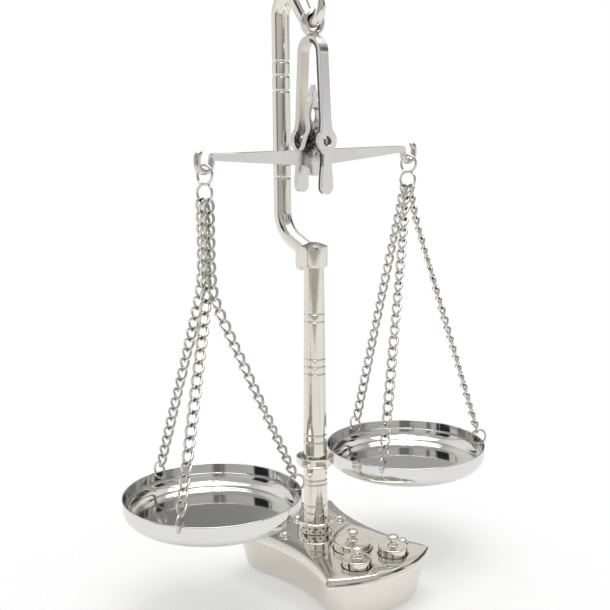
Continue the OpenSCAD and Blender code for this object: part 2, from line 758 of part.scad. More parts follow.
module pan(side, turn) {
    hole_d = wire_d + 1.2;
    r = pan_d / 2;
    floor_z = rim_z - pan_depth;
    bend = [r - pan_curve_r, floor_z + pan_curve_r];
    color(polished) translate([side * arm_l, 0, 0]) difference() {
        rotate_extrude() polygon(concat(
            [[0, floor_z]],
            arc(bend, pan_curve_r, -90, 0, 10),
            [[r, rim_z - 0.3], [r - 0.3, rim_z], [r - pan_t + 0.3, rim_z], [r - pan_t, rim_z - 0.3]],
            arc(bend, pan_curve_r - pan_t, 0, -90, 10),
            [[0, floor_z + pan_t]]
        ));
        for (k = [0:2]) rotate([0, 0, chain_az(turn, k)])
            translate([r - 3 * pan_t, 0, ring_hole_z]) rotate([0, 90, 0])
                cylinder(h = 6 * pan_t, d = hole_d);
    }
}

// A turned weight: a low drum in its recess, drawn up through a flared neck to a knob
module weight(d, x, y) {
    r = d / 2;
    z0 = base_h - recess_depth + seat;
    zt = base_h + weight_proud;
    flare = 2.6;
    neck = knob_neck_d / 2;
    ball_h = knob_h * 0.27;
    ball_z = zt + knob_h - ball_h;
    color(polished) translate([x, -y, 0]) rotate_extrude() polygon(concat(
        [[0, z0], [r - 0.5, z0], [r, z0 + 0.5], [r, zt - 1], [r - 0.9, zt]],
        arc([neck + flare, zt + flare], flare, 270, 180, 6),
        [for (a = [-50:20:70]) [knob_d / 2 * cos(a), ball_z + ball_h * sin(a)]],
        [[0, ball_z + ball_h]]
    ));
}

module large_weight() { weight(large_d, 0, large_y); }
module left_small_weight() { weight(small_d, -small_x, small_y); }
module right_small_weight() { weight(small_d, small_x, small_y); }
module left_s_hook() { s_hook(-1); }
module right_s_hook() { s_hook(1); }
module left_chain_back() { chain(-1, left_pan_turn, 0); }
module left_chain_outer() { chain(-1, left_pan_turn, 1); }
module left_chain_inner() { chain(-1, left_pan_turn, 2); }
module right_chain_back() { chain(1, right_pan_turn, 0); }
module right_chain_inner() { chain(1, right_pan_turn, 1); }
module right_chain_outer() { chain(1, right_pan_turn, 2); }
module left_pan_rings() { pan_rings(-1, left_pan_turn); }
module right_pan_rings() { pan_rings(1, right_pan_turn); }
module left_pan() { pan(-1, left_pan_turn); }
module right_pan() { pan(1, right_pan_turn); }

base_pad();
base_casting();
top_casting();
top_screws();
column_foot();
column_lower();
column_flange();
column_upper();
tie_rod();
tie_washer();
tie_nut();
neck_cap();
swan_neck();
shackle();
knife_edge();
beam();
left_s_hook();
left_chain_back();
left_chain_outer();
left_chain_inner();
left_pan_rings();
left_pan();
right_s_hook();
right_chain_back();
right_chain_inner();
right_chain_outer();
right_pan_rings();
right_pan();
large_weight();
left_small_weight();
right_small_weight();
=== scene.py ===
import bpy, bmesh, math, random
from mathutils import Matrix, Vector


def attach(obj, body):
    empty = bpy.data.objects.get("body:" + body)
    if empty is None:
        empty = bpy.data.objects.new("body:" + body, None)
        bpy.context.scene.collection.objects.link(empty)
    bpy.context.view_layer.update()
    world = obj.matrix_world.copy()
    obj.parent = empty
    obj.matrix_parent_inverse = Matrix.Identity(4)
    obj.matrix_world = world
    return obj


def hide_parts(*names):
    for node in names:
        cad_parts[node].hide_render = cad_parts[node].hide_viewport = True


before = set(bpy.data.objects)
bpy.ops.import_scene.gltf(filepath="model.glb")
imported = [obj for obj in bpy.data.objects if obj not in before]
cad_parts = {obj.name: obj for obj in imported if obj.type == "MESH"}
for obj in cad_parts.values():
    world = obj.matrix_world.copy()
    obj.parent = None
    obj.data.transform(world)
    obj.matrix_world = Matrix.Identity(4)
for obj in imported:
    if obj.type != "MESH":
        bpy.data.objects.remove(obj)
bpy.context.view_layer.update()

# Sizes are in millimetres in the frame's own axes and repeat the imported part's own sizes, so
# that each piece lies on its CAD node. M turns them into metres.
M = 0.001


# The felt pad under the base, and the plain steel of the knife edge and of the hidden tie rod
# with its washer and nut. They keep their CAD shape and only get a finish. One node group
# gives every metal its buffed waviness, fine scratches and smudged gloss.
def socket(group, name, way, kind, value=None):
    s = group.interface.new_socket(name=name, in_out=way, socket_type=kind)
    if value is not None:
        s.default_value = value
    return s


def link(tree, a, b):
    tree.links.new(a, b)


def node(tree, kind, **settings):
    n = tree.nodes.new(kind)
    for k, v in settings.items():
        if k in n.bl_rna.properties:
            setattr(n, k, v)
        else:
            n.inputs[k.replace("_", " ")].default_value = v
    return n


def math_node(tree, op, a, b=None, c=None, clamp=False):
    n = tree.nodes.new("ShaderNodeMath")
    n.operation = op
    n.use_clamp = clamp
    for i, v in enumerate((a, b, c)):
        if v is None:
            continue
        if isinstance(v, (int, float)):
            n.inputs[i].default_value = v
        else:
            tree.links.new(v, n.inputs[i])
    return n.outputs[0]


def ramp(tree, fac, stops, smooth=False):
    n = tree.nodes.new("ShaderNodeValToRGB")
    e = n.color_ramp.elements
    while len(e) > 1:
        e.remove(e[-1])
    for i, (p, c) in enumerate(stops):
        col = (c, c, c, 1) if isinstance(c, (int, float)) else (*c, 1)
        el = e[0] if i == 0 else e.new(p)
        el.position = p
        el.color = col
    n.color_ramp.interpolation = "EASE" if smooth else "LINEAR"
    tree.links.new(fac, n.inputs[0])
    return n.outputs[0]


def noise(tree, place, **settings):
    n = node(tree, "ShaderNodeTexNoise", **settings)
    link(tree, place, n.inputs["Vector"])
    return n.outputs["Fac"]


def mix_colour(tree, fac, a, b, kind="MIX"):
    """Mixes two colours, each a socket or three numbers, by a socket or a number."""
    n = tree.nodes.new("ShaderNodeMix")
    n.data_type = "RGBA"
    n.blend_type = kind
    for name, v in (("Factor", fac), ("A", a), ("B", b)):
        if isinstance(v, tuple):
            n.inputs[name].default_value = (*v, 1)
        elif isinstance(v, float):
            n.inputs[name].default_value = v
        else:
            link(tree, v, n.inputs[name])
    return n.outputs["Result"]


def distance(tree, place, keep=(1, 1, 1), centre=(0, 0, 0)):
    """How far a point of the surface lies from a centre, measured along the kept axes."""
    shift = tree.nodes.new("ShaderNodeVectorMath")
    shift.operation = "MULTIPLY_ADD"
    shift.inputs[1].default_value = keep
    shift.inputs[2].default_value = [-c * M for c in centre]
    link(tree, place, shift.inputs[0])
    length = tree.nodes.new("ShaderNodeVectorMath")
    length.operation = "LENGTH"
    link(tree, shift.outputs[0], length.inputs[0])
    return length.outputs["Value"]


def make_wear_group():
    scratch_rough, scratch_depth, grain_depth = 0.02, -0.006, 0.012
    g = bpy.data.node_groups.new("buffed_wear", "ShaderNodeTree")
    socket(g, "Vector", "INPUT", "NodeSocketVector")
    socket(g, "Gloss", "INPUT", "NodeSocketFloat", 0.08)
    socket(g, "Smudge", "INPUT", "NodeSocketFloat", 0.05)
    for name in ("Roughness", "Height", "Cloud"):
        socket(g, name, "OUTPUT", "NodeSocketFloat")
    i = g.nodes.new("NodeGroupInput")
    o = g.nodes.new("NodeGroupOutput")
    place = i.outputs["Vector"]
    cloud = noise(g, place, Scale=34.0, Detail=4.0, Roughness=0.6)
    wave = noise(g, place, Scale=70.0, Detail=1.0, Roughness=0.4)
    grain = noise(g, place, Scale=1400.0, Detail=2.0, Roughness=0.5)
    stretch = g.nodes.new("ShaderNodeMapping")
    stretch.inputs["Scale"].default_value = (50.0, 1500.0, 1500.0)
    stretch.inputs["Rotation"].default_value = (0.3, 0.5, 0.9)
    link(g, place, stretch.inputs["Vector"])
    scratch = noise(g, stretch.outputs[0], Scale=1.0, Detail=3.0, Roughness=0.7)
    fine = ramp(g, scratch, [(0.0, 0.0), (0.60, 0.0), (0.68, 1.0)])
    smudge = math_node(g, "MULTIPLY", ramp(g, cloud, [(0.35, 0.0), (0.7, 1.0)]),
                       i.outputs["Smudge"])
    rough = math_node(g, "ADD", i.outputs["Gloss"], smudge)
    rough = math_node(g, "MULTIPLY_ADD", fine, scratch_rough, rough)
    height = math_node(g, "MULTIPLY_ADD", wave, 1.0, math_node(g, "MULTIPLY", grain, grain_depth))
    height = math_node(g, "MULTIPLY_ADD", fine, scratch_depth, height)
    link(g, rough, o.inputs["Roughness"])
    link(g, height, o.inputs["Height"])
    link(g, cloud, o.inputs["Cloud"])
    return g


wear_group = make_wear_group()


def metal(name, colour, tarnish_and_shade, gloss, smudge, wave=0.00003, rings=None, crease_shade=0.5,
          shade_layer=None, hub=None):
    """A plated metal; rings is (x, y, spacing, depth) for a face turned about that axis.
    Pointiness and a named vertex value darken it, painted shade; round hub, an (x, z), it is rough cast."""
    m = bpy.data.materials.new(name)
    m.use_nodes = True
    t = m.node_tree
    t.nodes.clear()
    out = t.nodes.new("ShaderNodeOutputMaterial")
    p = t.nodes.new("ShaderNodeBsdfPrincipled")
    place = t.nodes.new("ShaderNodeTexCoord").outputs["Object"]
    wear = t.nodes.new("ShaderNodeGroup")
    wear.node_tree = wear_group
    wear.inputs["Gloss"].default_value = gloss
    wear.inputs["Smudge"].default_value = smudge
    link(t, place, wear.inputs["Vector"])
    geo = t.nodes.new("ShaderNodeNewGeometry")
    # Pointiness darkens creases and hollows towards the darker colour: painted shade. The cloud adds a
    # random darker tone.
    dip = ramp(t, geo.outputs["Pointiness"], [(0.40, 1.0), (0.49, 0.0)])
    fac = math_node(t, "MULTIPLY_ADD", dip, crease_shade,
                    math_node(t, "MULTIPLY", wear.outputs["Cloud"], 0.22), clamp=True)
    if hub:
        near = distance(t, place, keep=(1, 0, 1), centre=(hub[0], 0, hub[1]))
        pitted = noise(t, place, Scale=420.0, Detail=4.0, Roughness=0.65)
        cast = math_node(t, "MULTIPLY", ramp(t, near, [(0.0095, 1.0), (0.0165, 0.0)]),
                         ramp(t, pitted, [(0.36, 0.25), (0.56, 1.0)]))
        fac = math_node(t, "MAXIMUM", fac, cast)
    shade = mix_colour(t, fac, colour, tarnish_and_shade)
    # A vertex value paints shade where parts lie in each other, as on the chains' links.
    if shade_layer:
        nest_shade = t.nodes.new("ShaderNodeAttribute")
        nest_shade.attribute_name = shade_layer
        shade = mix_colour(t, nest_shade.outputs["Fac"], shade, (0.035, 0.031, 0.024))
    link(t, shade, p.inputs["Base Color"])
    p.inputs["Metallic"].default_value = 1.0
    link(t, wear.outputs["Roughness"], p.inputs["Roughness"])
    bump = node(t, "ShaderNodeBump", Strength=1.0, Distance=wave)
    link(t, wear.outputs["Height"], bump.inputs["Height"])
    last = bump
    if rings:
        x, y, spacing, depth = rings
        turned = t.nodes.new("ShaderNodeTexNoise")
        turned.noise_dimensions = "1D"
        turned.inputs["Scale"].default_value = 1.0 / (spacing * M)
        turned.inputs["Detail"].default_value = 3.0
        link(t, distance(t, place, keep=(1, 1, 0), centre=(x, y, 0)), turned.inputs["W"])
        last = node(t, "ShaderNodeBump", Strength=1.0, Distance=depth * M)
        link(t, turned.outputs["Fac"], last.inputs["Height"])
        link(t, bump.outputs[0], last.inputs["Normal"])
    link(t, last.outputs[0], p.inputs["Normal"])
    link(t, p.outputs[0], out.inputs[0])
    return m


def felt_material():
    m = bpy.data.materials.new("felt")
    m.use_nodes = True
    t = m.node_tree
    p = t.nodes["Principled BSDF"]
    fuzz = noise(t, t.nodes.new("ShaderNodeTexCoord").outputs["Object"], Scale=1500.0, Detail=3.0)
    link(t, ramp(t, fuzz, [(0.3, (0.012, 0.012, 0.013)), (0.7, (0.04, 0.04, 0.042))]),
         p.inputs["Base Color"])
    p.inputs["Roughness"].default_value = 0.95
    bump = node(t, "ShaderNodeBump", Strength=0.8, Distance=0.0003)
    link(t, fuzz, bump.inputs["Height"])
    link(t, bump.outputs[0], p.inputs["Normal"])
    return m


felt = felt_material()
steel_metal = metal("plain_steel", (0.45, 0.45, 0.46), (0.2, 0.19, 0.18), 0.32, 0.15)
for name in ("base_pad", "knife_edge", "tie_rod", "tie_washer", "tie_nut"):
    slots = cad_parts[name].data.materials
    slots.clear()
    slots.append(felt if name == "base_pad" else steel_metal)

# The base: two plated castings, one on the other. Hollow sides and bowed ends are four tangent
# arcs with round corners, skinned through rings of the same outline at several heights, and
# the weights' recesses are cut into the upper casting.
base_h, top_t, base_offset, seam = 36.0, 8.0, 16.5, 0.03
corner_x, corner_y, waist_x, end_bow, lip_out = 45.0, 57.0, 33.5, 14.0, 3.2
nickel, nickel_dark = (0.84, 0.815, 0.755), (0.50, 0.455, 0.37)
plate_metal = metal("polished_plate", nickel, nickel_dark, 0.045, 0.05)


def rad(a):
    return math.radians(a)


def cosd(a):
    return math.cos(rad(a))


def sind(a):
    return math.sin(rad(a))


def arc(c, r, a0, a1, n):
    return [(c[0] + r * cosd(a0 + (a1 - a0) * i / n), c[1] + r * sind(a0 + (a1 - a0) * i / n))
            for i in range(n + 1)]


side_r = (corner_y ** 2 + (corner_x - waist_x) ** 2) / (2 * (corner_x - waist_x))
end_r = (corner_x ** 2 + end_bow ** 2) / (2 * end_bow)
side_cx = waist_x + side_r
end_cy = corner_y + end_bow - end_r


def outline(d, rc, n=(26, 12, 20)):
    """The base's outline grown by d, its corners rounded to radius rc."""
    a, b = side_r - d + rc, end_r + d - rc
    c = math.hypot(side_cx, end_cy)
    ux, uy = -side_cx / c, end_cy / c
    along = (a * a - b * b + c * c) / (2 * c)
    off = math.sqrt(a * a - along * along)
    kx, ky = side_cx + along * ux + off * uy, along * uy - off * ux
    a_side = math.degrees(math.atan2(ky, kx - side_cx)) % 360
    a_end = math.degrees(math.atan2(ky - end_cy, kx))
    q = arc((side_cx, 0), side_r - d, 180, a_side, n[0])[:-1]
    q += arc((kx, ky), rc, a_side - 180, a_end, n[1])[:-1]
    q += arc((0, end_cy), end_r + d, a_end, 90, n[2])
    q += [(-x, y) for x, y in q[:-1][::-1]]
    q += [(x, -y) for x, y in q[1:-1][::-1]]
    return q


def wall(bm, rings, closed=False):
    """Joins each ring of vertices to the next with a band of faces."""
    for r0, r1 in zip(rings, rings[1:] + (rings[:1] if closed else [])):
        for k in range(len(r0)):
            j = (k + 1) % len(r0)
            bm.faces.new((r0[k], r0[j], r1[j], r1[k]))


def skin(bm, levels):
    """A solid through the base's outline at each level of (height, growth, corner radius)."""
    rings = [[bm.verts.new((x, y - base_offset, z)) for x, y in outline(d, rc)]
             for z, d, rc in levels]
    wall(bm, rings)
    bm.faces.new(rings[0][::-1])
    bm.faces.new(rings[-1])


def as_object(bm, name):
    me = bpy.data.meshes.new(name)
    bm.to_mesh(me)
    bm.free()
    ob = bpy.data.objects.new(name, me)
    bpy.context.scene.collection.objects.link(ob)
    return ob


def cut_with(bm_target, cutters):
    """Cuts round pockets, (x, y, radius, floor height, top height), out of a plate."""
    ob = as_object(bm_target, "cut_target")
    bm = bmesh.new()
    for x, y, r, z0, z1 in cutters:
        bmesh.ops.create_cone(bm, cap_ends=True, segments=72, radius1=r, radius2=r,
                              depth=z1 - z0, matrix=Matrix.Translation((x, y, (z0 + z1) / 2)))
    co = as_object(bm, "cutter")
    mod = ob.modifiers.new("cut", "BOOLEAN")
    mod.object = co
    mod.operation = "DIFFERENCE"
    mod.solver = "EXACT"
    bpy.context.view_layer.update()
    done = bpy.data.meshes.new_from_object(ob.evaluated_get(bpy.context.evaluated_depsgraph_get()))
    bm = bmesh.new()
    bm.from_mesh(done)
    spent = (ob.data, co.data, done)
    for o in (ob, co):
        bpy.data.objects.remove(o)
    for me in spent:
        bpy.data.meshes.remove(me)
    return bm


def finish_piece(bm, name, body, nodes, material, sharp=32.0, weighted=False):
    """Turns a bmesh in millimetres into a smooth piece that rides a body."""
    bmesh.ops.recalc_face_normals(bm, faces=bm.faces)
    bmesh.ops.scale(bm, vec=(M, M, M), verts=bm.verts)
    ob = as_object(bm, name)
    me = ob.data
    me.polygons.foreach_set("use_smooth", [True] * len(me.polygons))
    me.set_sharp_from_angle(angle=rad(sharp))
    for m in material if isinstance(material, (list, tuple)) else [material]:
        me.materials.append(m)
    if weighted:
        mod = ob.modifiers.new("flat_faces", "WEIGHTED_NORMAL")
        mod.keep_sharp = True
    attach(ob, body)
    if nodes:
        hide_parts(*nodes)
    return ob


lip_z = base_h - top_t
body_out, body_in, corner_r, foot_r, pad_t = lip_out - 2.2, 3.6, 14.0, 7.0, 1.5
foot_z = pad_t + foot_r
levels = []
for i in range(9):
    a = 90.0 * i / 8
    levels.append((pad_t + foot_r * (1 - cosd(a)),
                   body_out - body_in - foot_r * 0.75 * (1 - sind(a)), corner_r))
for i in range(1, 5):
    t = i / 4
    levels.append((foot_z + (lip_z - seam - foot_z) * t, body_out - body_in * (1 - t), corner_r))
bm = bmesh.new()
skin(bm, levels)
finish_piece(bm, "base_body", "stand", ["base_casting"], plate_metal, weighted=True)

# Its lip is eased, a quarter round leads up from it, and the plate falls off towards its edge
lip_corner, lip_ease, shoulder = 4.0, 1.0, top_t - 1.55
edge_in, fall, fall_w = 0.25, 0.5, 8.0
levels = [(lip_z + up, lip_out - back, lip_corner)
          for up, back in ((0, 1.0), (0.15, 0.5), (0.5, 0.12), (lip_ease, 0))]
for i in range(1, 13):
    a = 90.0 * i / 12
    levels.append((lip_z + lip_ease + shoulder * sind(a),
                   lip_out - (lip_out - edge_in) * (1 - cosd(a)), lip_corner - (1 - cosd(a))))
for i in range(1, 8):
    t = i / 7
    levels.append((base_h - fall * (1 - t) ** 2, edge_in - fall_w * t, lip_corner - 1 - t))
bm = bmesh.new()
skin(bm, levels)
recess, recess_gap = 5.0, 0.8
weights = [("large_weight", "large_weight_body", 0.0, -44.0, 14.0),
           ("left_small_weight", "left_weight_body", -16.6, -69.0, 10.5),
           ("right_small_weight", "right_weight_body", 16.6, -69.0, 10.5)]
bm = cut_with(bm, [(x, y, r + recess_gap, base_h - recess, base_h + 2) for _, _, x, y, r in weights])
finish_piece(bm, "base_top", "stand", ["top_casting"], plate_metal, weighted=True)


# Domed screws that clamp the castings together, each a low dome on a thin collar
def lathe(bm, profile, centre=(0, 0), steps=96, lift=0.0):
    """Turns an outline of (radius, height) about an upright axis."""
    verts = [bm.verts.new((centre[0] + r, centre[1], z + lift)) for r, z in profile]
    edges = [bm.edges.new((a, b)) for a, b in zip(verts, verts[1:])]
    bmesh.ops.spin(bm, geom=verts + edges, cent=(centre[0], centre[1], 0), axis=(0, 0, 1),
                   angle=math.tau, steps=steps, use_merge=True, use_duplicate=False)
    bmesh.ops.remove_doubles(bm, verts=bm.verts, dist=0.001)


column_metal = metal("turned_plate", nickel, nickel_dark, 0.075, 0.05, wave=0.000012, crease_shade=0.8)
dome_r, dome_h, dome_z = 3.45, 2.4, 0.95
head = [(4.5, seam), (4.5, 0.45), (4.35, 0.6), (3.7, 0.62), (3.5, 0.9)]
head += [(dome_r * cosd(a), dome_z + dome_h * sind(a)) for a in range(8, 90, 9)] + [(0.0, 3.38)]
bm = bmesh.new()
for x, y in ((-26.4, 3.5), (26.4, 3.5), (0, 23.6), (34.8, -59)):
    lathe(bm, head, (x, y), 48, lift=base_h)
finish_piece(bm, "top_screw_heads", "stand", ["top_screws"], column_metal)

# The column: two turned and plated lengths with cut grooves, a collar at the foot, a dished
# flange clamped between the lengths and a cap that takes the swan neck. A rod up the middle
# holds them together.
column_h, column_d, column_top_d, rod_bore = 200.0, 18.8, 14.4, 3.2
groove_depth = 0.55


def column_r(z):
    return (column_d - (column_d - column_top_d) * z / column_h) / 2


def groove(*half):
    """A groove, lip to lip, from the half of its outline that is given as (height, depth)."""
    return [(-dz, dr) for dz, dr in half] + list(half[::-1])


column_groove = groove((0.85, 0), (0.7, 0.06), (0.42, 0.42), (0.2, groove_depth))


def grooved(z0, z1, places, ease=0.3):
    """The outline of a tapering length between two heights, with a groove at each place."""
    pts = [(rod_bore, z0), (column_r(z0) - ease, z0), (column_r(z0), z0 + ease)]
    pts += [(column_r(g) - dr, g + dz) for g in places for dz, dr in column_groove]
    return pts + [(column_r(z1), z1 - ease), (column_r(z1) - ease, z1), (rod_bore, z1)]


bm = bmesh.new()
lathe(bm, grooved(8.04, 50.48, [15, 20.6, 37.2, 40.6]), lift=base_h)
finish_piece(bm, "column_low", "stand", ["column_lower"], column_metal, weighted=True)
bm = bmesh.new()
lathe(bm, grooved(53.12, 199.98, [69.5, 75.1, 121.4, 127.0, 132.6, 160.4, 166.0]), lift=base_h)
finish_piece(bm, "column_high", "stand", ["column_upper"], column_metal, weighted=True)

collar_r, collar_h, collar_round = 13.6, 8.0, 2.4
bm = bmesh.new()
foot = [(rod_bore, 0.02), (collar_r - 0.6, 0.02), (collar_r - 0.15, 0.3), (collar_r, 0.8)]
foot += arc((collar_r - collar_round, collar_h - collar_round), collar_round, 0, 90, 10)
lathe(bm, foot + [(rod_bore, collar_h + 0.02)], lift=base_h)
finish_piece(bm, "foot_collar", "stand", ["column_foot"], column_metal)

# Punch marks in two staggered rows round the foot collar: dark discs, painted shade for the hollow of
# each mark
mark_shade_metal = metal("painted_mark_shade", (0.03, 0.028, 0.022), (0.01, 0.01, 0.008), 0.35, 0.2)
marks, mark_r, mark_floor_r, mark_t = 16, 0.78, 0.66, 0.14
bm = bmesh.new()
for row, z in enumerate((2.4, 5.0)):
    for k in range(marks):
        a = 360 / marks * (k + row / 2)
        at = Matrix.Rotation(rad(a), 4, "Z") @ Matrix.Translation((collar_r - 0.05, 0, base_h + z))
        bmesh.ops.create_cone(bm, cap_ends=True, segments=12, radius1=mark_r, radius2=mark_floor_r,
                              depth=mark_t, matrix=at @ Matrix.Rotation(rad(90), 4, "Y"))
finish_piece(bm, "foot_punch_marks", "stand", [], mark_shade_metal)

flange_at, flange_h, flange_r, flange_round, flange_web = 50.5, 7.6, 14.1, 0.6, 2.6
bowl_r = flange_h * 0.62
neck_in = column_r(flange_at) + 0.9
bm = bmesh.new()
dish = [(rod_bore, 0), (neck_in, 0)] + arc((neck_in, bowl_r), bowl_r, -78, -22, 8)
dish += arc((flange_r - flange_round, flange_h - flange_round), flange_round, -30, 180, 12)
dish += [(neck_in + 1.2, 3.4), (neck_in - 0.3, flange_web), (rod_bore, flange_web)]
lathe(bm, dish, lift=base_h + flange_at)
finish_piece(bm, "flange_dish", "stand", ["column_flange"], column_metal)

# The cap: a very slightly barrelled drum under a low dome that was left as cast
cap_z, cap_h, cap_r = base_h + column_h, 15.0, 9.9
barrel, crown_r, crown_h = 0.19, 8.9, 2.6
cast_metal = metal("cast_plate", (0.34, 0.335, 0.32), (0.10, 0.095, 0.085), 0.2, 0.2, wave=0.0004)
bm = bmesh.new()
cap = [(0, 0), (cap_r - 0.8, 0), (cap_r - 0.42, 0.15)]
cap += [(cap_r - barrel * (1 - i / 8) ** 2, 0.5 + i / 8 * (cap_h - 1.0)) for i in range(8)]
cap += [(cap_r, cap_h - 0.45), (cap_r - 0.15, cap_h - 0.12), (cap_r - 0.5, cap_h)]
cap += [(r, cap_h + crown_h * (1 - (r / crown_r) ** 2))
        for r in (crown_r, 8.0, 7.0, 5.8, 4.4, 2.8, 1.4, 0)]
lathe(bm, cap, lift=cap_z)
bm.normal_update()
for f in bm.faces:
    f.material_index = int(f.calc_center_median().z > cap_z + cap_h + 0.02)
finish_piece(bm, "cap_drum", "stand", ["neck_cap"], [column_metal, cast_metal], weighted=True)

# A short lug behind the cap, round below, that the neck's heel stands in
lug_y, lug_r, lug_round, lug_low, lug_top = 10.6, 6.9, 2.7, -3.6, 11.0
bm = bmesh.new()
lug = [(0, lug_low)] + arc((lug_r - lug_round, lug_low + lug_round), lug_round, -90, 0, 8)
lathe(bm, lug + [(lug_r, lug_top), (0, lug_top)], (0, lug_y), 64, lift=cap_z)
finish_piece(bm, "cap_lug", "stand", [], column_metal)

# The swan neck: one bent bar of plated steel from its heel in the cap, up the back, over the
# crook and down the tapering limb to the hook that carries the shackle.
neck_r, neck_y, elbow_r, elbow_lean, heel_y = 6.35, 38.0, 22.0, 68.0, 2.0
elbow_rise, tip_step = 37.6, 14.5
elbow_c = (neck_y - elbow_r, cap_z + elbow_rise)
elbow_end = (elbow_c[0] + elbow_r * cosd(elbow_lean), elbow_c[1] - elbow_r * sind(elbow_lean))
hook_z, hook_r, hook_d, hook_turn = 371.0, 10.0, 9.4, 195.0
tip_d, limb_lean, crook_r = 5.0, 38.0, 12.6
hook_c = (0.0, base_h + hook_z + hook_r)
limb_low = (hook_c[0] + hook_r * cosd(limb_lean), hook_c[1] - hook_r * sind(limb_lean))
crook_y = neck_y - crook_r
crook_z = limb_low[1] + ((crook_y - limb_low[0]) * cosd(limb_lean) - crook_r) / sind(limb_lean)
limb_high = (crook_y - crook_r * cosd(limb_lean), crook_z + crook_r * sind(limb_lean))


def tube(bm, path, radii, sides, closed=False, side=(1, 0, 0)):
    """Skins a round bar along a path; side is a direction that is never along the path."""
    rings = []
    n = len(path)
    for i, p in enumerate(path):
        a = path[(i - 1) % n] if closed or i else path[0]
        b = path[(i + 1) % n] if closed or i < n - 1 else path[-1]
        t = (Vector(b) - Vector(a)).normalized()
        u = (Vector(side) - t * Vector(side).dot(t)).normalized()
        v = t.cross(u)
        r = radii[i] if isinstance(radii, list) else radii
        rings.append([bm.verts.new(Vector(p) + (u * math.cos(k * math.tau / sides)
                                                + v * math.sin(k * math.tau / sides)) * r)
                      for k in range(sides)])
    wall(bm, rings, closed)
    if not closed:
        bm.faces.new(rings[0][::-1])
        bm.faces.new(rings[-1])


def split(bm, at, way, **more):
    """Cuts every face that a plane goes through."""
    bmesh.ops.bisect_plane(bm, geom=bm.verts[:] + bm.edges[:] + bm.faces[:], plane_co=at,
                           plane_no=way, **more)


path, radii = [], []


def go(y, z, r):
    path.append((0.0, y, z))
    radii.append(r)


go(heel_y, elbow_end[1] - (elbow_end[0] - heel_y) / math.tan(rad(elbow_lean)), neck_r)
for y, z in arc(elbow_c, elbow_r, -elbow_lean, 0, 18):
    go(y, z, neck_r)
for g in (262, 272, 324.3, 335, 345):
    for dz, dr in groove((1.5, 0), (1.1, 0.1), (0.7, 0.42), (0.35, groove_depth)):
        go(neck_y, base_h + g + dz, neck_r - dr)
for y, z in arc((crook_y, crook_z), crook_r, 0, 180 - limb_lean, 28):
    go(y, z, neck_r)
for i in range(1, 7):
    t = i / 7
    go(limb_high[0] * (1 - t) + limb_low[0] * t, limb_high[1] * (1 - t) + limb_low[1] * t,
       neck_r + (hook_d / 2 - neck_r) * t / 2)
# Round the hook: s is 1 at the limb, 2 at the lowest point and 3 at the tip
for i in range(49):
    s = 1 + 2 * i / 48
    if s < 2:
        a = -limb_lean - (s - 1) * (90 - limb_lean)
        r = neck_r + (hook_d / 2 - neck_r) * s / 2
    else:
        a = -90 - (s - 2) * (hook_turn - 90)
        r = hook_d / 2 + (tip_d - hook_d) / 2 * (s - 2)
    go(hook_c[0] + hook_r * cosd(a), hook_c[1] + hook_r * sind(a), r)
for k in range(1, 7):
    b = tip_step * k
    go(hook_c[0] + hook_r * cosd(-hook_turn) + sind(-hook_turn) * tip_d / 2 * sind(b),
       hook_c[1] + hook_r * sind(-hook_turn) - cosd(-hook_turn) * tip_d / 2 * sind(b),
       tip_d / 2 * cosd(b))
bm = bmesh.new()
tube(bm, path, radii, sides=48)
heel_cut = cap_z - 4.8
split(bm, (0, 0, heel_cut), (0, 0, -1), clear_outer=True)
bmesh.ops.holes_fill(bm, edges=[e for e in bm.edges if e.is_boundary], sides=0)
finish_piece(bm, "swan_neck_bar", "stand", ["swan_neck"], column_metal, weighted=True)

# The shackle: a bowed flat strap with round cheeks and long tongues under a rounded eye, cast
# in one piece. It hangs on the neck's hook, and the knife edge rests in its cheeks.
eye_r, eye_t, eye_w, eye_gap = 7.6, 4.0, 3.0, 0.25
eye_z = base_h + hook_z + hook_d / 2 + eye_gap - (eye_r - eye_t / 2)
bow_top = eye_z - eye_r - eye_t / 2 + 0.8
fork_gap, cheek_gap, fork_t, leg_w, cheek_d, bearing_d = 16.8, 23.6, 4.8, 7.6, 16.6, 6.6
pivot_z = base_h + 289.7
cheek_top, cheek_low = pivot_z + cheek_d / 2, pivot_z - 9.5
tongue_l, tongue_d = 37.0, 10.0
arch_r, draft_w, draft_in = 12.0, 2.4, 0.3
arch_c = bow_top - arch_r
arch_z = arch_c - 0.5
satin_metal = metal("satin_plate", (0.82, 0.815, 0.81), (0.5, 0.49, 0.47), 0.2, 0.06, wave=0.000006)
rim_metal = metal("rim_plate", (0.70, 0.69, 0.665), (0.28, 0.265, 0.24), 0.09, 0.08, wave=0.0006)
inner_metal = metal("leg_inner", (0.88, 0.83, 0.73), (0.10, 0.095, 0.08), 0.36, 0.12, wave=0.0004,
                    hub=(0.0, pivot_z))
# A near-black finish: a painted dark reflection along the front inner arrises.
painted_reflection_metal = metal("painted_dark_reflection", (0.10, 0.098, 0.09), (0.03, 0.03, 0.025), 0.2, 0.1, wave=0.0003)
on_satin, on_rim, on_inner, on_painted_reflection = range(4)


def round_over(bm, edges, width):
    """Rounds edges over in three steps."""
    bmesh.ops.bevel(bm, geom=edges, offset=width, offset_type="OFFSET", segments=3, profile=0.6,
                    affect="EDGES", clamp_overlap=True)


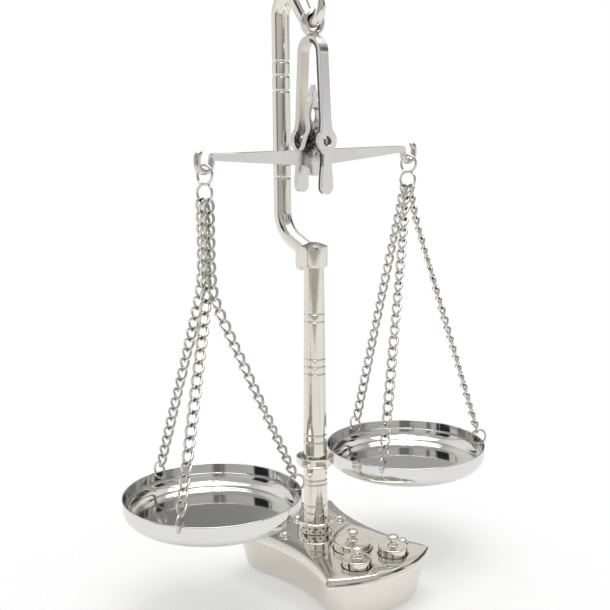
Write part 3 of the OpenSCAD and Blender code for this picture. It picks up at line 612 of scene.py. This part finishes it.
def plate(bm, outlines, y0, y1, bevel):
    """Stands outlines of (x, z) up as one plate between two depths, its rims eased."""
    edges = []
    for pts in outlines:
        vs = [bm.verts.new((x, y0, z)) for x, z in pts]
        edges += [bm.edges.new((vs[i], vs[(i + 1) % len(vs)])) for i in range(len(vs))]
    made = bmesh.ops.triangle_fill(bm, use_beauty=True, use_dissolve=True, edges=edges)
    faces = [g for g in made["geom"] if isinstance(g, bmesh.types.BMFace)]
    out = bmesh.ops.extrude_face_region(bm, geom=faces)
    moved = [g for g in out["geom"] if isinstance(g, bmesh.types.BMVert)]
    bmesh.ops.translate(bm, verts=moved, vec=(0, y1 - y0, 0))
    bmesh.ops.recalc_face_normals(bm, faces=bm.faces)
    rims = [e for e in bm.edges if len(e.link_faces) == 2 and
            abs(abs(e.link_faces[0].normal.y) - abs(e.link_faces[1].normal.y)) > 0.9]
    if bevel:
        round_over(bm, rims, bevel)


def join(bm, part):
    """Adds one bmesh to another."""
    me = bpy.data.meshes.new("part")
    part.to_mesh(me)
    part.free()
    bm.from_mesh(me)
    bpy.data.meshes.remove(me)


def leg_outline():
    """One leg from the front: eased into the cheek and the tongue."""
    end_rr = tongue_d / 2
    end_z = pivot_z - tongue_l + end_rr
    waist = leg_w * 0.43
    half = [(leg_w / 2 * 0.98, arch_z)]
    cheek = cheek_d / 2
    a0 = math.degrees(math.acos(leg_w / 2 / cheek))
    for i in range(7):
        t = i / 6
        z = pivot_z + cheek * sind(a0) + 9.0 * (1 - t)
        half.append((leg_w / 2 + 0.9 * t * t, z))
    half += [(cheek * cosd(a), pivot_z + cheek * sind(a)) for a in range(int(a0) - 8, -56, -6)]
    run = (pivot_z - end_z) * 0.72
    for i in range(8):
        t = 1 - i / 8
        half.append((waist + (end_rr - waist) * cosd(90 * t) ** 2, end_z + run * t))
    half += [(end_rr * cosd(a), end_z + end_rr * sind(a)) for a in range(0, -90, -9)]
    return half + [(-x, z) for x, z in half[::-1]]


bm = bmesh.new()
bearing = [(cosd(a) * bearing_d / 2, pivot_z + sind(a) * bearing_d / 2) for a in range(0, 360, 9)]
for s in (-1, 1):
    part = bmesh.new()
    inner = s * cheek_gap / 2
    outer = inner + s * fork_t
    plate(part, [leg_outline(), bearing], inner, outer, bevel=0)
    # The sides ease in towards the inner face, with a painted dark reflection along the front leg's
    # arris
    for at, way in (((0, inner + s * draft_w, 0), (0, 1, 0)), ((0, 0, cheek_low), (0, 0, 1))):
        split(part, at, way)
    part.normal_update()
    for f in part.faces:
        near = f.calc_center_median().y * s - cheek_gap / 2
        if s < 0 and abs(f.normal.x) > 0.4 and near < draft_w - 0.1:
            f.material_index = on_painted_reflection
    for v in part.verts:
        if abs(v.co.y - inner) < 0.01 and math.hypot(v.co.x, v.co.z - pivot_z) > bearing_d / 2 + 0.5:
            v.co.x -= math.copysign(min(draft_in, abs(v.co.x)), v.co.x)
    rims = [e for e in part.edges if len(e.link_faces) == 2 and
            all(abs(v.co.y - outer) < 0.01 for v in e.verts) and
            min(abs(f.normal.y) for f in e.link_faces) < 0.5]
    round_over(part, rims, 0.5)
    # The leg leans in to the bow above the cheek
    for v in part.verts:
        above = max(0.0, v.co.z - cheek_top)
        v.co.y -= s * (cheek_gap - fork_gap) / 2 * above / (arch_z - cheek_top)
    join(bm, part)

# The bow: the same strap carried round a quarter circle above each leg and level between them
arch_y = fork_gap / 2 + fork_t - arch_r
strap = [((arch_y + arch_r, arch_z - 0.3), (1, 0))]
for i in range(21):
    a = 90.0 * i / 20
    strap.append(((arch_y + arch_r * cosd(a), arch_c + arch_r * sind(a)), (cosd(a), sind(a))))
strap += [((-y, z), (-ny, nz)) for (y, z), (ny, nz) in strap[::-1]]
w = leg_w / 2
section = [(-w + 0.5, 0), (-w + 0.15, 0.12), (-w, 0.5), (-w, fork_t - draft_w),
           (-w + draft_in, fork_t)]
section += [(-x, d) for x, d in section[::-1]]
part = bmesh.new()
rows = [[part.verts.new((x, y - ny * d, z - nz * d)) for x, d in section]
        for (y, z), (ny, nz) in strap]
wall(part, rows)
part.faces.new(rows[0])
part.faces.new(rows[-1])
bmesh.ops.recalc_face_normals(part, faces=part.faces)
# Faces along the bow's front inner arris get the painted dark reflection too.
for f in part.faces:
    c = f.calc_center_median()
    deep = abs(c.y) - arch_y
    if c.z > arch_c:
        deep = math.hypot(deep, c.z - arch_c)
    if abs(f.normal.x) > 0.6 and c.y < 0 and deep < arch_r - fork_t + draft_w - 0.3:
        f.material_index = on_painted_reflection
join(bm, part)

# The eye is a ring turned on its side, and a small long boss joins it to the bow
part = bmesh.new()
lathe(part, [(eye_r + eye_t / 2 * cosd(a), eye_w * sind(a)) for a in range(0, 361, 15)], steps=64)
for v in part.verts:
    v.co.y, v.co.z = -v.co.z, v.co.y + eye_z
boss = bmesh.new()
lathe(boss, [(0, -2.4), (3.7, -2.4), (3.7, -0.5), (3.45, 0.4), (3.1, 1.4), (2.9, 2.6), (0, 2.6)],
      steps=40, lift=bow_top)
boss_long = 1.6
bmesh.ops.scale(boss, vec=(1, boss_long, 1), verts=boss.verts)
join(part, boss)
join(bm, part)
bm.normal_update()
for f in bm.faces:
    c = f.calc_center_median()
    outward = f.normal.y * (1 if c.y > 0 else -1)
    buffed = outward > 0.2 if c.z < arch_z else outward > 0 or f.normal.z > 0.5
    if f.material_index == on_painted_reflection:
        continue
    if c.z >= bow_top + 0.1 or abs(f.normal.x) >= 0.3:
        f.material_index = on_rim
    else:
        f.material_index = on_satin if buffed or c.z < cheek_low else on_inner
finish_piece(bm, "shackle_fork", "shackle_body", ["shackle"],
             [satin_metal, rim_metal, inner_metal, painted_reflection_metal], weighted=True)

# The beam: one flat plate of plated metal with a pierced pointer and a pendant, rough cast
# round the knife edge that goes through it.
arm_l, beam_t, beam_drop = 90.0, 5.4, 6.3
beam_top = pivot_z - beam_drop
pointer_rise = 38.5 + beam_drop
beam_metal = metal("beam_plate", (0.84, 0.835, 0.83), (0.07, 0.068, 0.062), 0.17, 0.06,
                   wave=0.000006, hub=(0.0, pivot_z))


def curve(points, n=4):
    """A smooth curve through points, n steps between neighbours."""
    out = []
    for i in range(len(points) - 1):
        p = [Vector(points[max(0, min(len(points) - 1, i + k))]) for k in (-1, 0, 1, 2)]
        for j in range(n):
            t = j / n
            bend = 2 * p[0] - 5 * p[1] + 4 * p[2] - p[3]
            out.append(tuple(0.5 * (2 * p[1] + (p[2] - p[0]) * t + bend * t * t
                                    + (3 * p[1] - p[0] - 3 * p[2] + p[3]) * t ** 3)))
    return out + [tuple(points[-1])]


# The right half's outline: the pointer's edge, the arm's rounded end and the pendant
pointer = [(0, 1), (1.4, 0.925), (2.6, 0.862), (2.8, 0.83), (1.8, 0.776), (2.5, 0.74), (4.1, 0.66),
           (5.0, 0.58), (5.1, 0.49), (4.6, 0.40), (4.3, 0.33), (5.3, 0.27), (7.1, 0.20),
           (8.3, 0.12), (9.5, 0.05), (11.4, 0)]
pendant = [(15, 10.4), (12, 10.5), (9.2, 11.2), (6.6, 12.4), (5.4, 13.8), (5.3, 14.8), (4.5, 16.5),
           (3, 17.8), (1.2, 18.5), (0, 18.68)]
half = curve([(x, beam_top + v * pointer_rise) for x, v in pointer])
half += [(arm_l - 8.0, beam_top)] + arc((arm_l - 7.2, beam_top - 2.4), 2.35, 80, -80, 8)
half += [(arm_l - 9.5, beam_top - 4.85)] + curve([(x, beam_top - d) for x, d in pendant])
oval_x, oval_h, oval_z = 3.6, 5.7, beam_top + pointer_rise * 0.535
oval = [(oval_x * cosd(a), oval_z + oval_h * sind(a)) for a in range(0, 360, 9)]
full = half + [(-x, z) for x, z in half[1:-1][::-1]]
bm = bmesh.new()
plate(bm, [full, oval], -beam_t / 2, beam_t / 2, bevel=0.45)
bm.normal_update()
# Bevel faces to the front left, above the arm, get the painted dark reflection.
for f in bm.faces:
    front_left = f.normal.x < -0.25 and f.normal.y < -0.25 and f.calc_center_median().z > beam_top + 3
    f.material_index = 0 if abs(f.normal.y) > 0.93 else 2 if front_left else 1
finish_piece(bm, "beam_plate", "beam_body", ["beam"], [beam_metal, rim_metal, painted_reflection_metal],
             weighted=True)

# The beam's end hooks: round bars drawn out of the plate's ends. They turn down, under the
# wire and up to a curled tip.
gap_r, bar_t, end_seat = 3.1, 4.6, beam_top - 9.4
seat_z = end_seat + gap_r
shank = [(-9.4, -2.5), (-7.4, -2.7), (-5.9, -4.2), (-5.4, -6.3)]
curl = [(5.4, 1.2), (5.35, 3.4), (4.9, 5.4), (3.7, 6.75), (2.6, 6.9)]
taper, taper_n = 0.035, 9
for side, s in (("left", -1), ("right", 1)):
    pts = curve([(arm_l + x, beam_top + z) for x, z in shank])[:-1]
    pts += arc((arm_l, seat_z), gap_r + bar_t / 2, 180, 360, 20)
    pts += curve([(arm_l + x, seat_z + z) for x, z in curl])
    n = len(pts)
    widths = [bar_t / 2 * (1.0 - taper * max(0, i - n + taper_n)) for i in range(n)]
    for f in (0.86, 0.6, 0.2):
        pts.append((pts[-1][0] - 0.45, pts[-1][1] - 0.08))
        widths.append(widths[n - 1] * f)
    bm = bmesh.new()
    tube(bm, [(s * x, 0, z) for x, z in pts], widths, sides=20, side=(0, 1, 0))
    finish_piece(bm, side + "_beam_hook", "beam_body", [], rim_metal, sharp=70)

# Wire work: S-hooks bent from plated wire, and the rings that stand through the pans' walls.
# Their heights follow from the beam's hooks, the chains' length and the pans' width.
wire_r, loop_r, loop_turn, crossing, sidestep = 0.9, 6.3, 18.0, 0.6, 1.75
hang_gap = 0.05
loop_half = beam_t / 2 / cosd(loop_turn) + wire_r * math.tan(rad(loop_turn))
loop_z = end_seat + 0.35 - math.sqrt((loop_r - wire_r) ** 2 - loop_half ** 2)
low_loop_z = loop_z - 2 * loop_r
pan_r, pan_t, pan_depth, pan_curve_r, ring_r = 62.5, 1.1, 17.0, 11.0, 5.85
link_l, link_w, link_wire, link_count, link_play = 8.3, 8.0, 0.85, 25, 0.1
ring_at = pan_r - pan_t / 2
chain_l = link_count * link_l - (link_count - 1) * link_play - 2 * wire_r - 2 * hang_gap
hang_l = chain_l + 2 * ring_r
hang_lean = math.degrees(math.asin(ring_at / hang_l))
ring_hole_z = low_loop_z - loop_r - hang_l * cosd(hang_lean) - 0.2
ring_low_z = ring_hole_z + 0.2
hole_drop = 4.4
rim_z = ring_hole_z + hole_drop
wire_metal = metal("wire_plate", (0.72, 0.71, 0.68), (0.42, 0.39, 0.34), 0.14, 0.12)
# Each side's place, the turn of its rings, and its chains in the rings' order
sides = {"left": (-arm_l, 8.0, ("back", "outer", "inner")),
         "right": (arm_l, 2.0, ("back", "inner", "outer"))}
flat = Vector((sind(loop_turn), -cosd(loop_turn), 0))
up = Vector((0, 0, 1))
normal = flat.cross(up)

for side, (px, turn, _) in sides.items():
    path = []
    for z, sign, start, sweep in ((loop_z, 1, 260, -350), (low_loop_z, -1, 90, 350)):
        for i in range(65):
            a = start + sweep * i / 64
            from_end = i if sign > 0 else 64 - i
            aside = normal * sidestep * sign * max(0.0, 1 - from_end / 15) ** 1.5
            path.append(Vector((px, 0, z)) + flat * (sign * crossing / 2 + loop_r * cosd(a))
                        + up * loop_r * sind(a) + aside)
    bm = bmesh.new()
    tube(bm, [tuple(p) for p in path], wire_r, sides=16, side=tuple(normal))
    finish_piece(bm, side + "_s_wire", side + "_hanging", [side + "_s_hook"], wire_metal, sharp=60)
    bm = bmesh.new()
    for k in range(3):
        az = 90 + 120 * k + turn
        out = Vector((cosd(az), sind(az), 0))
        c = Vector((px, 0, ring_low_z + ring_r * cosd(hang_lean)))
        c += out * (ring_at - ring_r * sind(hang_lean))
        pts = [tuple(c + out * ring_r * cosd(a) + up * ring_r * sind(a)) for a in range(0, 360, 8)]
        tube(bm, pts, wire_r, sides=16, closed=True, side=tuple(out.cross(up)))
    finish_piece(bm, side + "_rings", side + "_hanging", [side + "_pan_rings"], wire_metal)

# Chains: curb links. Every link is an oval of plated wire twisted a little over a quarter turn
# along its length, so that each lies the same way as its neighbours and still threads them.
rng = random.Random(11)
shown_wire, half_twist, link_steps, link_sides = 1.0, 50, 36, 10
mid_r = link_w / 2 - link_wire
half_l = link_l / 2 + link_wire
# The links get painted shade in their creases and where each nests in the next.
chain_metal = metal("chain_plate", (0.76, 0.74, 0.69), (0.30, 0.27, 0.21), 0.1, 0.1, crease_shade=0.9,
                    shade_layer="nest")


def curb_link(bm, place, roll):
    """One link along its own z axis; its nest value paints shade where the next link lies in it."""
    turn_m = Matrix.Rotation(roll, 4, "Z")
    nest = bm.verts.layers.float.get("nest") or bm.verts.layers.float.new("nest")
    pts = []
    for i in range(link_steps):
        a = math.tau * i / link_steps
        c, s = math.cos(a), math.sin(a)
        z = half_l * math.copysign(abs(c) ** 0.86, c)
        w = mid_r * math.copysign(abs(s) ** 0.9, s)
        twist = rad(half_twist) * z / half_l
        pts.append(place @ turn_m @ Vector((w * math.cos(twist), w * math.sin(twist), z)))
    rings = []
    for i in range(link_steps):
        t = (pts[(i + 1) % link_steps] - pts[i - 1]).normalized()
        out = pts[i] - place.translation
        u = (out - t * out.dot(t)).normalized()
        v = t.cross(u)
        end = min(1.0, max(0.0, (abs(math.cos(math.tau * i / link_steps)) - 0.6) / 0.3))
        rings.append([])
        for k in range(link_sides):
            a = k * math.tau / link_sides
            vert = bm.verts.new(pts[i] + (u * math.cos(a) + v * math.sin(a)) * shown_wire)
            vert[nest] = end * (0.55 - 0.45 * math.cos(a))
            rings[-1].append(vert)
    wall(bm, rings, closed=True)


def hang_line(top, low, bunch, ease=0.035):
    """Points down a chain that hangs beside its neighbours before it fans out to its ring."""
    def reach(t):
        return ease * math.log(1 + math.exp((t - bunch) / ease))
    span = reach(1.0) - reach(0.0)
    out = []
    for i in range(241):
        t = i / 240
        h = (reach(t) - reach(0.0)) / span if bunch > 0 else t
        out.append(Vector((top.x + (low.x - top.x) * h, top.y + (low.y - top.y) * h,
                           top.z + (low.z - top.z) * t)))
    return out


def along_line(line, d):
    """The point and direction at a distance along a line, run on past its ends."""
    for a, b in zip(line, line[1:]):
        step = (b - a).length
        if d <= step:
            return a + (b - a) * (d / step), (b - a).normalized()
        d -= step
    way = (line[-1] - line[-2]).normalized()
    return line[-1] + way * d, way


face = Vector((cosd(-36.7), sind(-36.7), 0))
hook_spread, hook_places = 3.2, (-1, -0.19, 1)
rolls = {"left": ((10, 40), (-25, 15), (10, 50)), "right": ((62, 32), (70, 12), (84, 80))}
bunches = {"left": (0.28, 0.34, 0.32), "right": (0.0, 0.0, 0.06)}
for side, (px, turn, names) in sides.items():
    for k, which in enumerate(names):
        s = hook_spread * hook_places[k]
        x = s - crossing / 2
        lift = (wire_r + link_wire) * (1 / math.sqrt(1 - (s / loop_r) ** 2) - 1)
        top = Vector((x * sind(loop_turn), -x * cosd(loop_turn),
                      low_loop_z - math.sqrt(loop_r ** 2 - s * s) + lift))
        az = 90 + 120 * k + turn
        r = ring_at - 2 * ring_r * sind(hang_lean)
        low = Vector((r * cosd(az), r * sind(az), ring_low_z + 2 * ring_r * cosd(hang_lean)))
        line = hang_line(top, low, bunches[side][k])
        total = sum((b - a).length for a, b in zip(line, line[1:]))
        pitch = (total + 2 * wire_r + 2 * hang_gap - link_l) / (link_count - 1)
        bm = bmesh.new()
        for i in range(link_count):
            at, way = along_line(line, max(0.01, i * pitch + link_l / 2 - wire_r - hang_gap))
            x_axis = (face - way * face.dot(way)).normalized()
            place = Matrix((x_axis, way.cross(x_axis), way)).transposed().to_4x4()
            t = i / (link_count - 1)
            start, stop = rolls[side][k]
            roll = start + (stop - start) * t + rng.uniform(-9, 9) + 8 * math.sin(i * 0.55 + k * 2.1)
            curb_link(bm, Matrix.Translation(Vector((px, 0, 0)) + at) @ place, rad(roll))
        node_name = "%s_chain_%s" % (side, which)
        finish_piece(bm, side + "_links_" + which, side + "_hanging", [node_name], chain_metal, sharp=80)

# Pans: dishes spun from plated sheet, with a flat floor, a round wall and a thin rim. The
# rings stand in their walls.
pan_metal = metal("spun_plate", (0.80, 0.80, 0.785), (0.5, 0.49, 0.46), 0.045, 0.04, wave=0.00002)
floor_z = rim_z - pan_depth
cr, cz, rim_low = pan_r - pan_curve_r, floor_z + pan_curve_r, rim_z - 0.5
flats = (0, cr * 0.5, cr - 2)
prof = [(r, floor_z) for r in flats] + arc((cr, cz), pan_curve_r, -90, 0, 22)
prof += [(pan_r, rim_low)] + arc((pan_r - pan_t / 2, rim_low), pan_t / 2 - 0.02, 0, 180, 8)
prof += [(pan_r - pan_t, rim_low)] + arc((cr, cz), pan_curve_r - pan_t, 0, -90, 22)
prof += [(r, floor_z + pan_t) for r in flats[::-1]]
for side, (px, _, _) in sides.items():
    bm = bmesh.new()
    lathe(bm, prof, (px, 0), 160)
    finish_piece(bm, side + "_dish", side + "_hanging", [side + "_pan"], pan_metal, sharp=60)

# Weights: low drums turned in one piece with a flared stem and a flattened knob, and plated.
# Each stands loose in its recess and shows its turning lines on top.
drum_top, drum_round, knob_h = base_h + 5.6, 0.75, 8.6
stem_r, flare, knob_r, ball_h = 2.2, 2.6, 4.4, knob_h * 0.27
ball_z, drum_low = drum_top + knob_h - ball_h, base_h - recess + seam
for name, body, x, y, r in weights:
    prof = [(0, drum_low), (r - 0.5, drum_low), (r, base_h - 4.4), (r, drum_top - drum_round)]
    prof += arc((r - drum_round, drum_top - drum_round), drum_round, 0, 90, 5)
    prof += [(r * 0.75, drum_top - 0.03), (stem_r + flare + 0.6, drum_top - 0.02)]
    prof += arc((stem_r + flare, drum_top + flare), flare, 270, 180, 10)
    prof += [(stem_r, ball_z - ball_h * 0.95)]
    prof += [(knob_r * cosd(a), ball_z + ball_h * sind(a)) for a in range(-56, 90, 8)]
    mat = metal("turned_" + name, nickel, nickel_dark, 0.06, 0.05, rings=(x, y, 0.35, 0.002))
    bm = bmesh.new()
    lathe(bm, prof + [(0, ball_z + ball_h)], (x, y), 96)
    finish_piece(bm, name + "_drum", body, [name], mat, sharp=40)


# The studio: a pale floor that fades out, the camera at the photograph's own angle, a bright
# world with the grey flags that the metal mirrors, and one soft light overhead.
def mix_shaders(tree, fac, a, b, out):
    """Puts a mix of two shaders into an output node."""
    n = tree.nodes.new("ShaderNodeMixShader")
    for k, v in enumerate((fac, a.outputs[0], b.outputs[0])):
        link(tree, v, n.inputs[k])
    link(tree, n.outputs[0], out.inputs[0])


bm = bmesh.new()
bmesh.ops.create_circle(bm, cap_ends=True, segments=96, radius=0.9)
floor = as_object(bm, "floor")
floor_paint = bpy.data.materials.new("floor")
floor_paint.use_nodes = True
t = floor_paint.node_tree
t.nodes.clear()
place = t.nodes.new("ShaderNodeTexCoord").outputs["Object"]
diff = t.nodes.new("ShaderNodeBsdfDiffuse")
speck = noise(t, place, Scale=40.0, Detail=3.0)
link(t, ramp(t, speck, [(0.3, 0.93), (0.7, 0.96)]), diff.inputs["Color"])
fade = ramp(t, distance(t, place), [(0.09, 0.45), (0.30, 1.0)], smooth=True)
mix_shaders(t, fade, diff, t.nodes.new("ShaderNodeBsdfTransparent"),
            t.nodes.new("ShaderNodeOutputMaterial"))
floor.data.materials.append(floor_paint)

cam_az, cam_el, cam_roll = -36.6903, 10.7677, -0.4497
frame_px, focal_px, sensor = 610.0, 1069.4965, 36.0
back = Vector((sind(cam_az) * cosd(cam_el), -cosd(cam_az) * cosd(cam_el), sind(cam_el)))
right = Vector((cosd(cam_az), sind(cam_az), 0))
up = back.cross(right)
right2 = right * cosd(cam_roll) + up * sind(cam_roll)
up2 = up * cosd(cam_roll) - right * sind(cam_roll)
cam_data = bpy.data.cameras.new("camera")
cam_data.lens = sensor * focal_px / frame_px
cam_data.sensor_width = sensor
cam_data.shift_x = -0.92 / frame_px
cam_data.shift_y = -0.82 / frame_px
cam = bpy.data.objects.new("camera", cam_data)
rot = Matrix((right2, up2, back)).transposed().to_4x4()
cam.matrix_world = Matrix.Translation((-0.45969, -0.60685, 0.35317)) @ rot
bpy.context.scene.collection.objects.link(cam)
bpy.context.scene.camera = cam

world = bpy.data.worlds.new("studio")
bpy.context.scene.world = world
world.use_nodes = True
t = world.node_tree
t.nodes.clear()
sep = t.nodes.new("ShaderNodeSeparateXYZ")
link(t, t.nodes.new("ShaderNodeTexCoord").outputs["Generated"], sep.inputs[0])
x, y, z = sep.outputs


def along(vx, vy):
    return math_node(t, "MULTIPLY_ADD", x, vx, math_node(t, "MULTIPLY", y, vy))


toward = along(sind(cam_az), -cosd(cam_az))
rightward = along(cosd(cam_az), sind(cam_az))
turn = math_node(t, "MULTIPLY_ADD", math_node(t, "ARCTAN2", rightward, toward), 1 / math.tau, 0.5)
height = math_node(t, "MULTIPLY_ADD", math_node(t, "ARCSINE", z), 1 / math.pi, 0.5)
across = math_node(t, "ADD", rightward, 0.5)


def ring(*stops):
    """Light by bearing, in degrees to the right of the camera's side."""
    return ramp(t, turn, [(a / 360.0 + 0.5, v) for a, v in stops])


def even(v):
    return ring((-180, v), (180, v))


def by_height(*stops):
    """Light by elevation, in degrees above the level."""
    return ramp(t, height, [(a / 180.0 + 0.5, v) for a, v in stops])


def between(low, high):
    return by_height((low, 0.0), (high, 1.0))


def blend(fac, a, b):
    return mix_colour(t, fac, a, b)


# Flags and light round the room, at six elevations
bands = [
    (-20.0, [(-180, 0.95), (180, 0.95)]),
    (-15.0, [(-180, 0.95), (-66, 0.95), (-60, 0.16), (-32, 0.2), (-26, 0.9), (44, 0.9), (50, 0.7),
             (60, 0.95), (180, 0.95)]),
    (-9.5, [(-180, 0.7), (-160, 0.7), (-150, 0.95), (-66, 0.9), (-60, 0.26), (-42, 0.45), (0, 0.4),
            (48, 0.32), (54, 0.85), (90, 0.88), (110, 0.95), (150, 0.95), (160, 0.7), (180, 0.7)]),
    (-1.3, [(-180, 0.08), (-156, 0.08), (-150, 0.9), (-76, 0.85), (-68, 0.16), (-54, 0.18),
            (-48, 0.55), (-10, 0.45), (10, 0.4), (14, 0.12), (34, 0.12), (40, 0.8), (100, 0.85),
            (150, 0.9), (156, 0.08), (180, 0.08)]),
    (4.0, [(-180, 0.08), (-156, 0.08), (-150, 0.9), (-78, 0.85), (-70, 0.2), (-56, 0.2),
           (-50, 0.6), (20, 0.55), (26, 0.14), (54, 0.14), (60, 0.92), (100, 0.9), (106, 0.3),
           (124, 0.3), (130, 0.8), (150, 0.9), (156, 0.08), (180, 0.08)]),
    (11.0, [(-180, 0.45), (-165, 0.25), (-150, 0.5), (-149, 0.5), (-148, 0.03), (-142, 0.03),
            (-141, 0.75), (-120, 0.9), (-90, 0.8), (-78, 0.7), (-77, 0.02), (-54, 0.02),
            (-53, 0.6), (-14, 0.55), (-11, 0.2), (2, 0.2), (6, 0.6), (56, 0.55), (62, 0.3),
            (75, 0.3), (76, 0.03), (88, 0.03), (89, 0.6), (98, 0.5), (104, 0.07), (146, 0.07),
            (150, 0.35), (180, 0.45)]),
]
room = ring(*bands[0][1])
for (low, _), (high, stops) in zip(bands, bands[1:]):
    room = blend(between(low, high), room, ring(*stops))

# In front: a dim ceiling, a bright strip low down, a dark wedge that widens upwards, which the
# column and cap mirror as a V, and one small black flag on the right
ceiling = ring((-180, 0.9), (-104, 0.9), (-84, 0.5), (84, 0.5), (104, 0.9), (180, 0.9))
front = blend(between(26, 36), room, ceiling)
front = blend(between(52, 64), front, even(0.6))
strip = ring((-180, 0.9), (-90, 0.9), (-70, 0.95), (70, 0.95), (90, 0.9), (180, 0.9))
front = blend(by_height((-14.5, 0.0), (-13.5, 1.0), (-7.0, 1.0), (-5.5, 0.0)), front, strip)
wedge_slope, wedge_foot = 16.5, 11.6
slack = math_node(t, "SUBTRACT",
                  math_node(t, "MULTIPLY_ADD", height, 180 * wedge_slope / 360,
                            -wedge_slope * (90 - wedge_foot) / 360),
                  math_node(t, "ABSOLUTE", math_node(t, "ADD", turn, -0.5)))
wedge = math_node(t, "MULTIPLY", ramp(t, slack, [(0.0, 0.0), (0.006, 1.0)]),
                  by_height((-7.0, 1.0), (-5.5, 0.0)))
inside = ramp(t, slack, [(0.0, (0.1, 0.09, 0.07)), (0.012, (0.12, 0.11, 0.09)),
                         (0.022, (0.43, 0.40, 0.33))])
front = blend(wedge, front, inside)
flag = math_node(t, "MULTIPLY", ring((90, 0.0), (92, 1.0), (104, 1.0), (106, 0.0)),
                 by_height((27, 0.0), (29, 1.0), (40, 1.0), (42, 0.0)))
front = blend(flag, front, even(0.03))

# Behind: what the pans' floors and, above that, the plate mirror, darker to the left
pan_floor = ramp(t, across, [(0.38, 0.26), (0.49, 0.3), (0.56, 0.4), (0.68, 0.42)])
plate_top = ramp(t, across, [(0.33, 0.22), (0.45, 0.27), (0.49, 0.4), (0.53, 0.62), (0.58, 0.85),
                             (0.64, 0.95)])
behind = blend(between(20.7, 21.3), pan_floor, plate_top)
behind = blend(between(30, 42), behind, even(0.75))
behind = blend(between(8, 13), room, behind)
backness = ring((-166, 1.0), (-152, 0.0), (152, 0.0), (166, 1.0))
room = blend(backness, front, behind)

# Metal and shadow see the room, and the camera sees plain white
seen = node(t, "ShaderNodeBackground", Strength=1.0)
link(t, mix_colour(t, 1.0, room, (1.0, 0.995, 0.985), kind="MULTIPLY"), seen.inputs["Color"])
white = node(t, "ShaderNodeBackground", Color=(1, 1, 1, 1))
mix_shaders(t, t.nodes.new("ShaderNodeLightPath").outputs["Is Camera Ray"], seen, white,
            t.nodes.new("ShaderNodeOutputWorld"))


def soft_light(name, at, size, energy):
    d = bpy.data.lights.new(name, "AREA")
    d.shape = "RECTANGLE"
    d.size, d.size_y = size
    d.energy = energy
    o = bpy.data.objects.new(name, d)
    bpy.context.scene.collection.objects.link(o)
    o.location = at
    o.rotation_euler = (Vector(at) - Vector((0, 0, 0.2))).to_track_quat("Z", "Y").to_euler()


soft_light("top_light", (0.1, 0.0, 1.5), (1.2, 1.2), 13.0)

bpy.context.scene.view_settings.view_transform = "Standard"
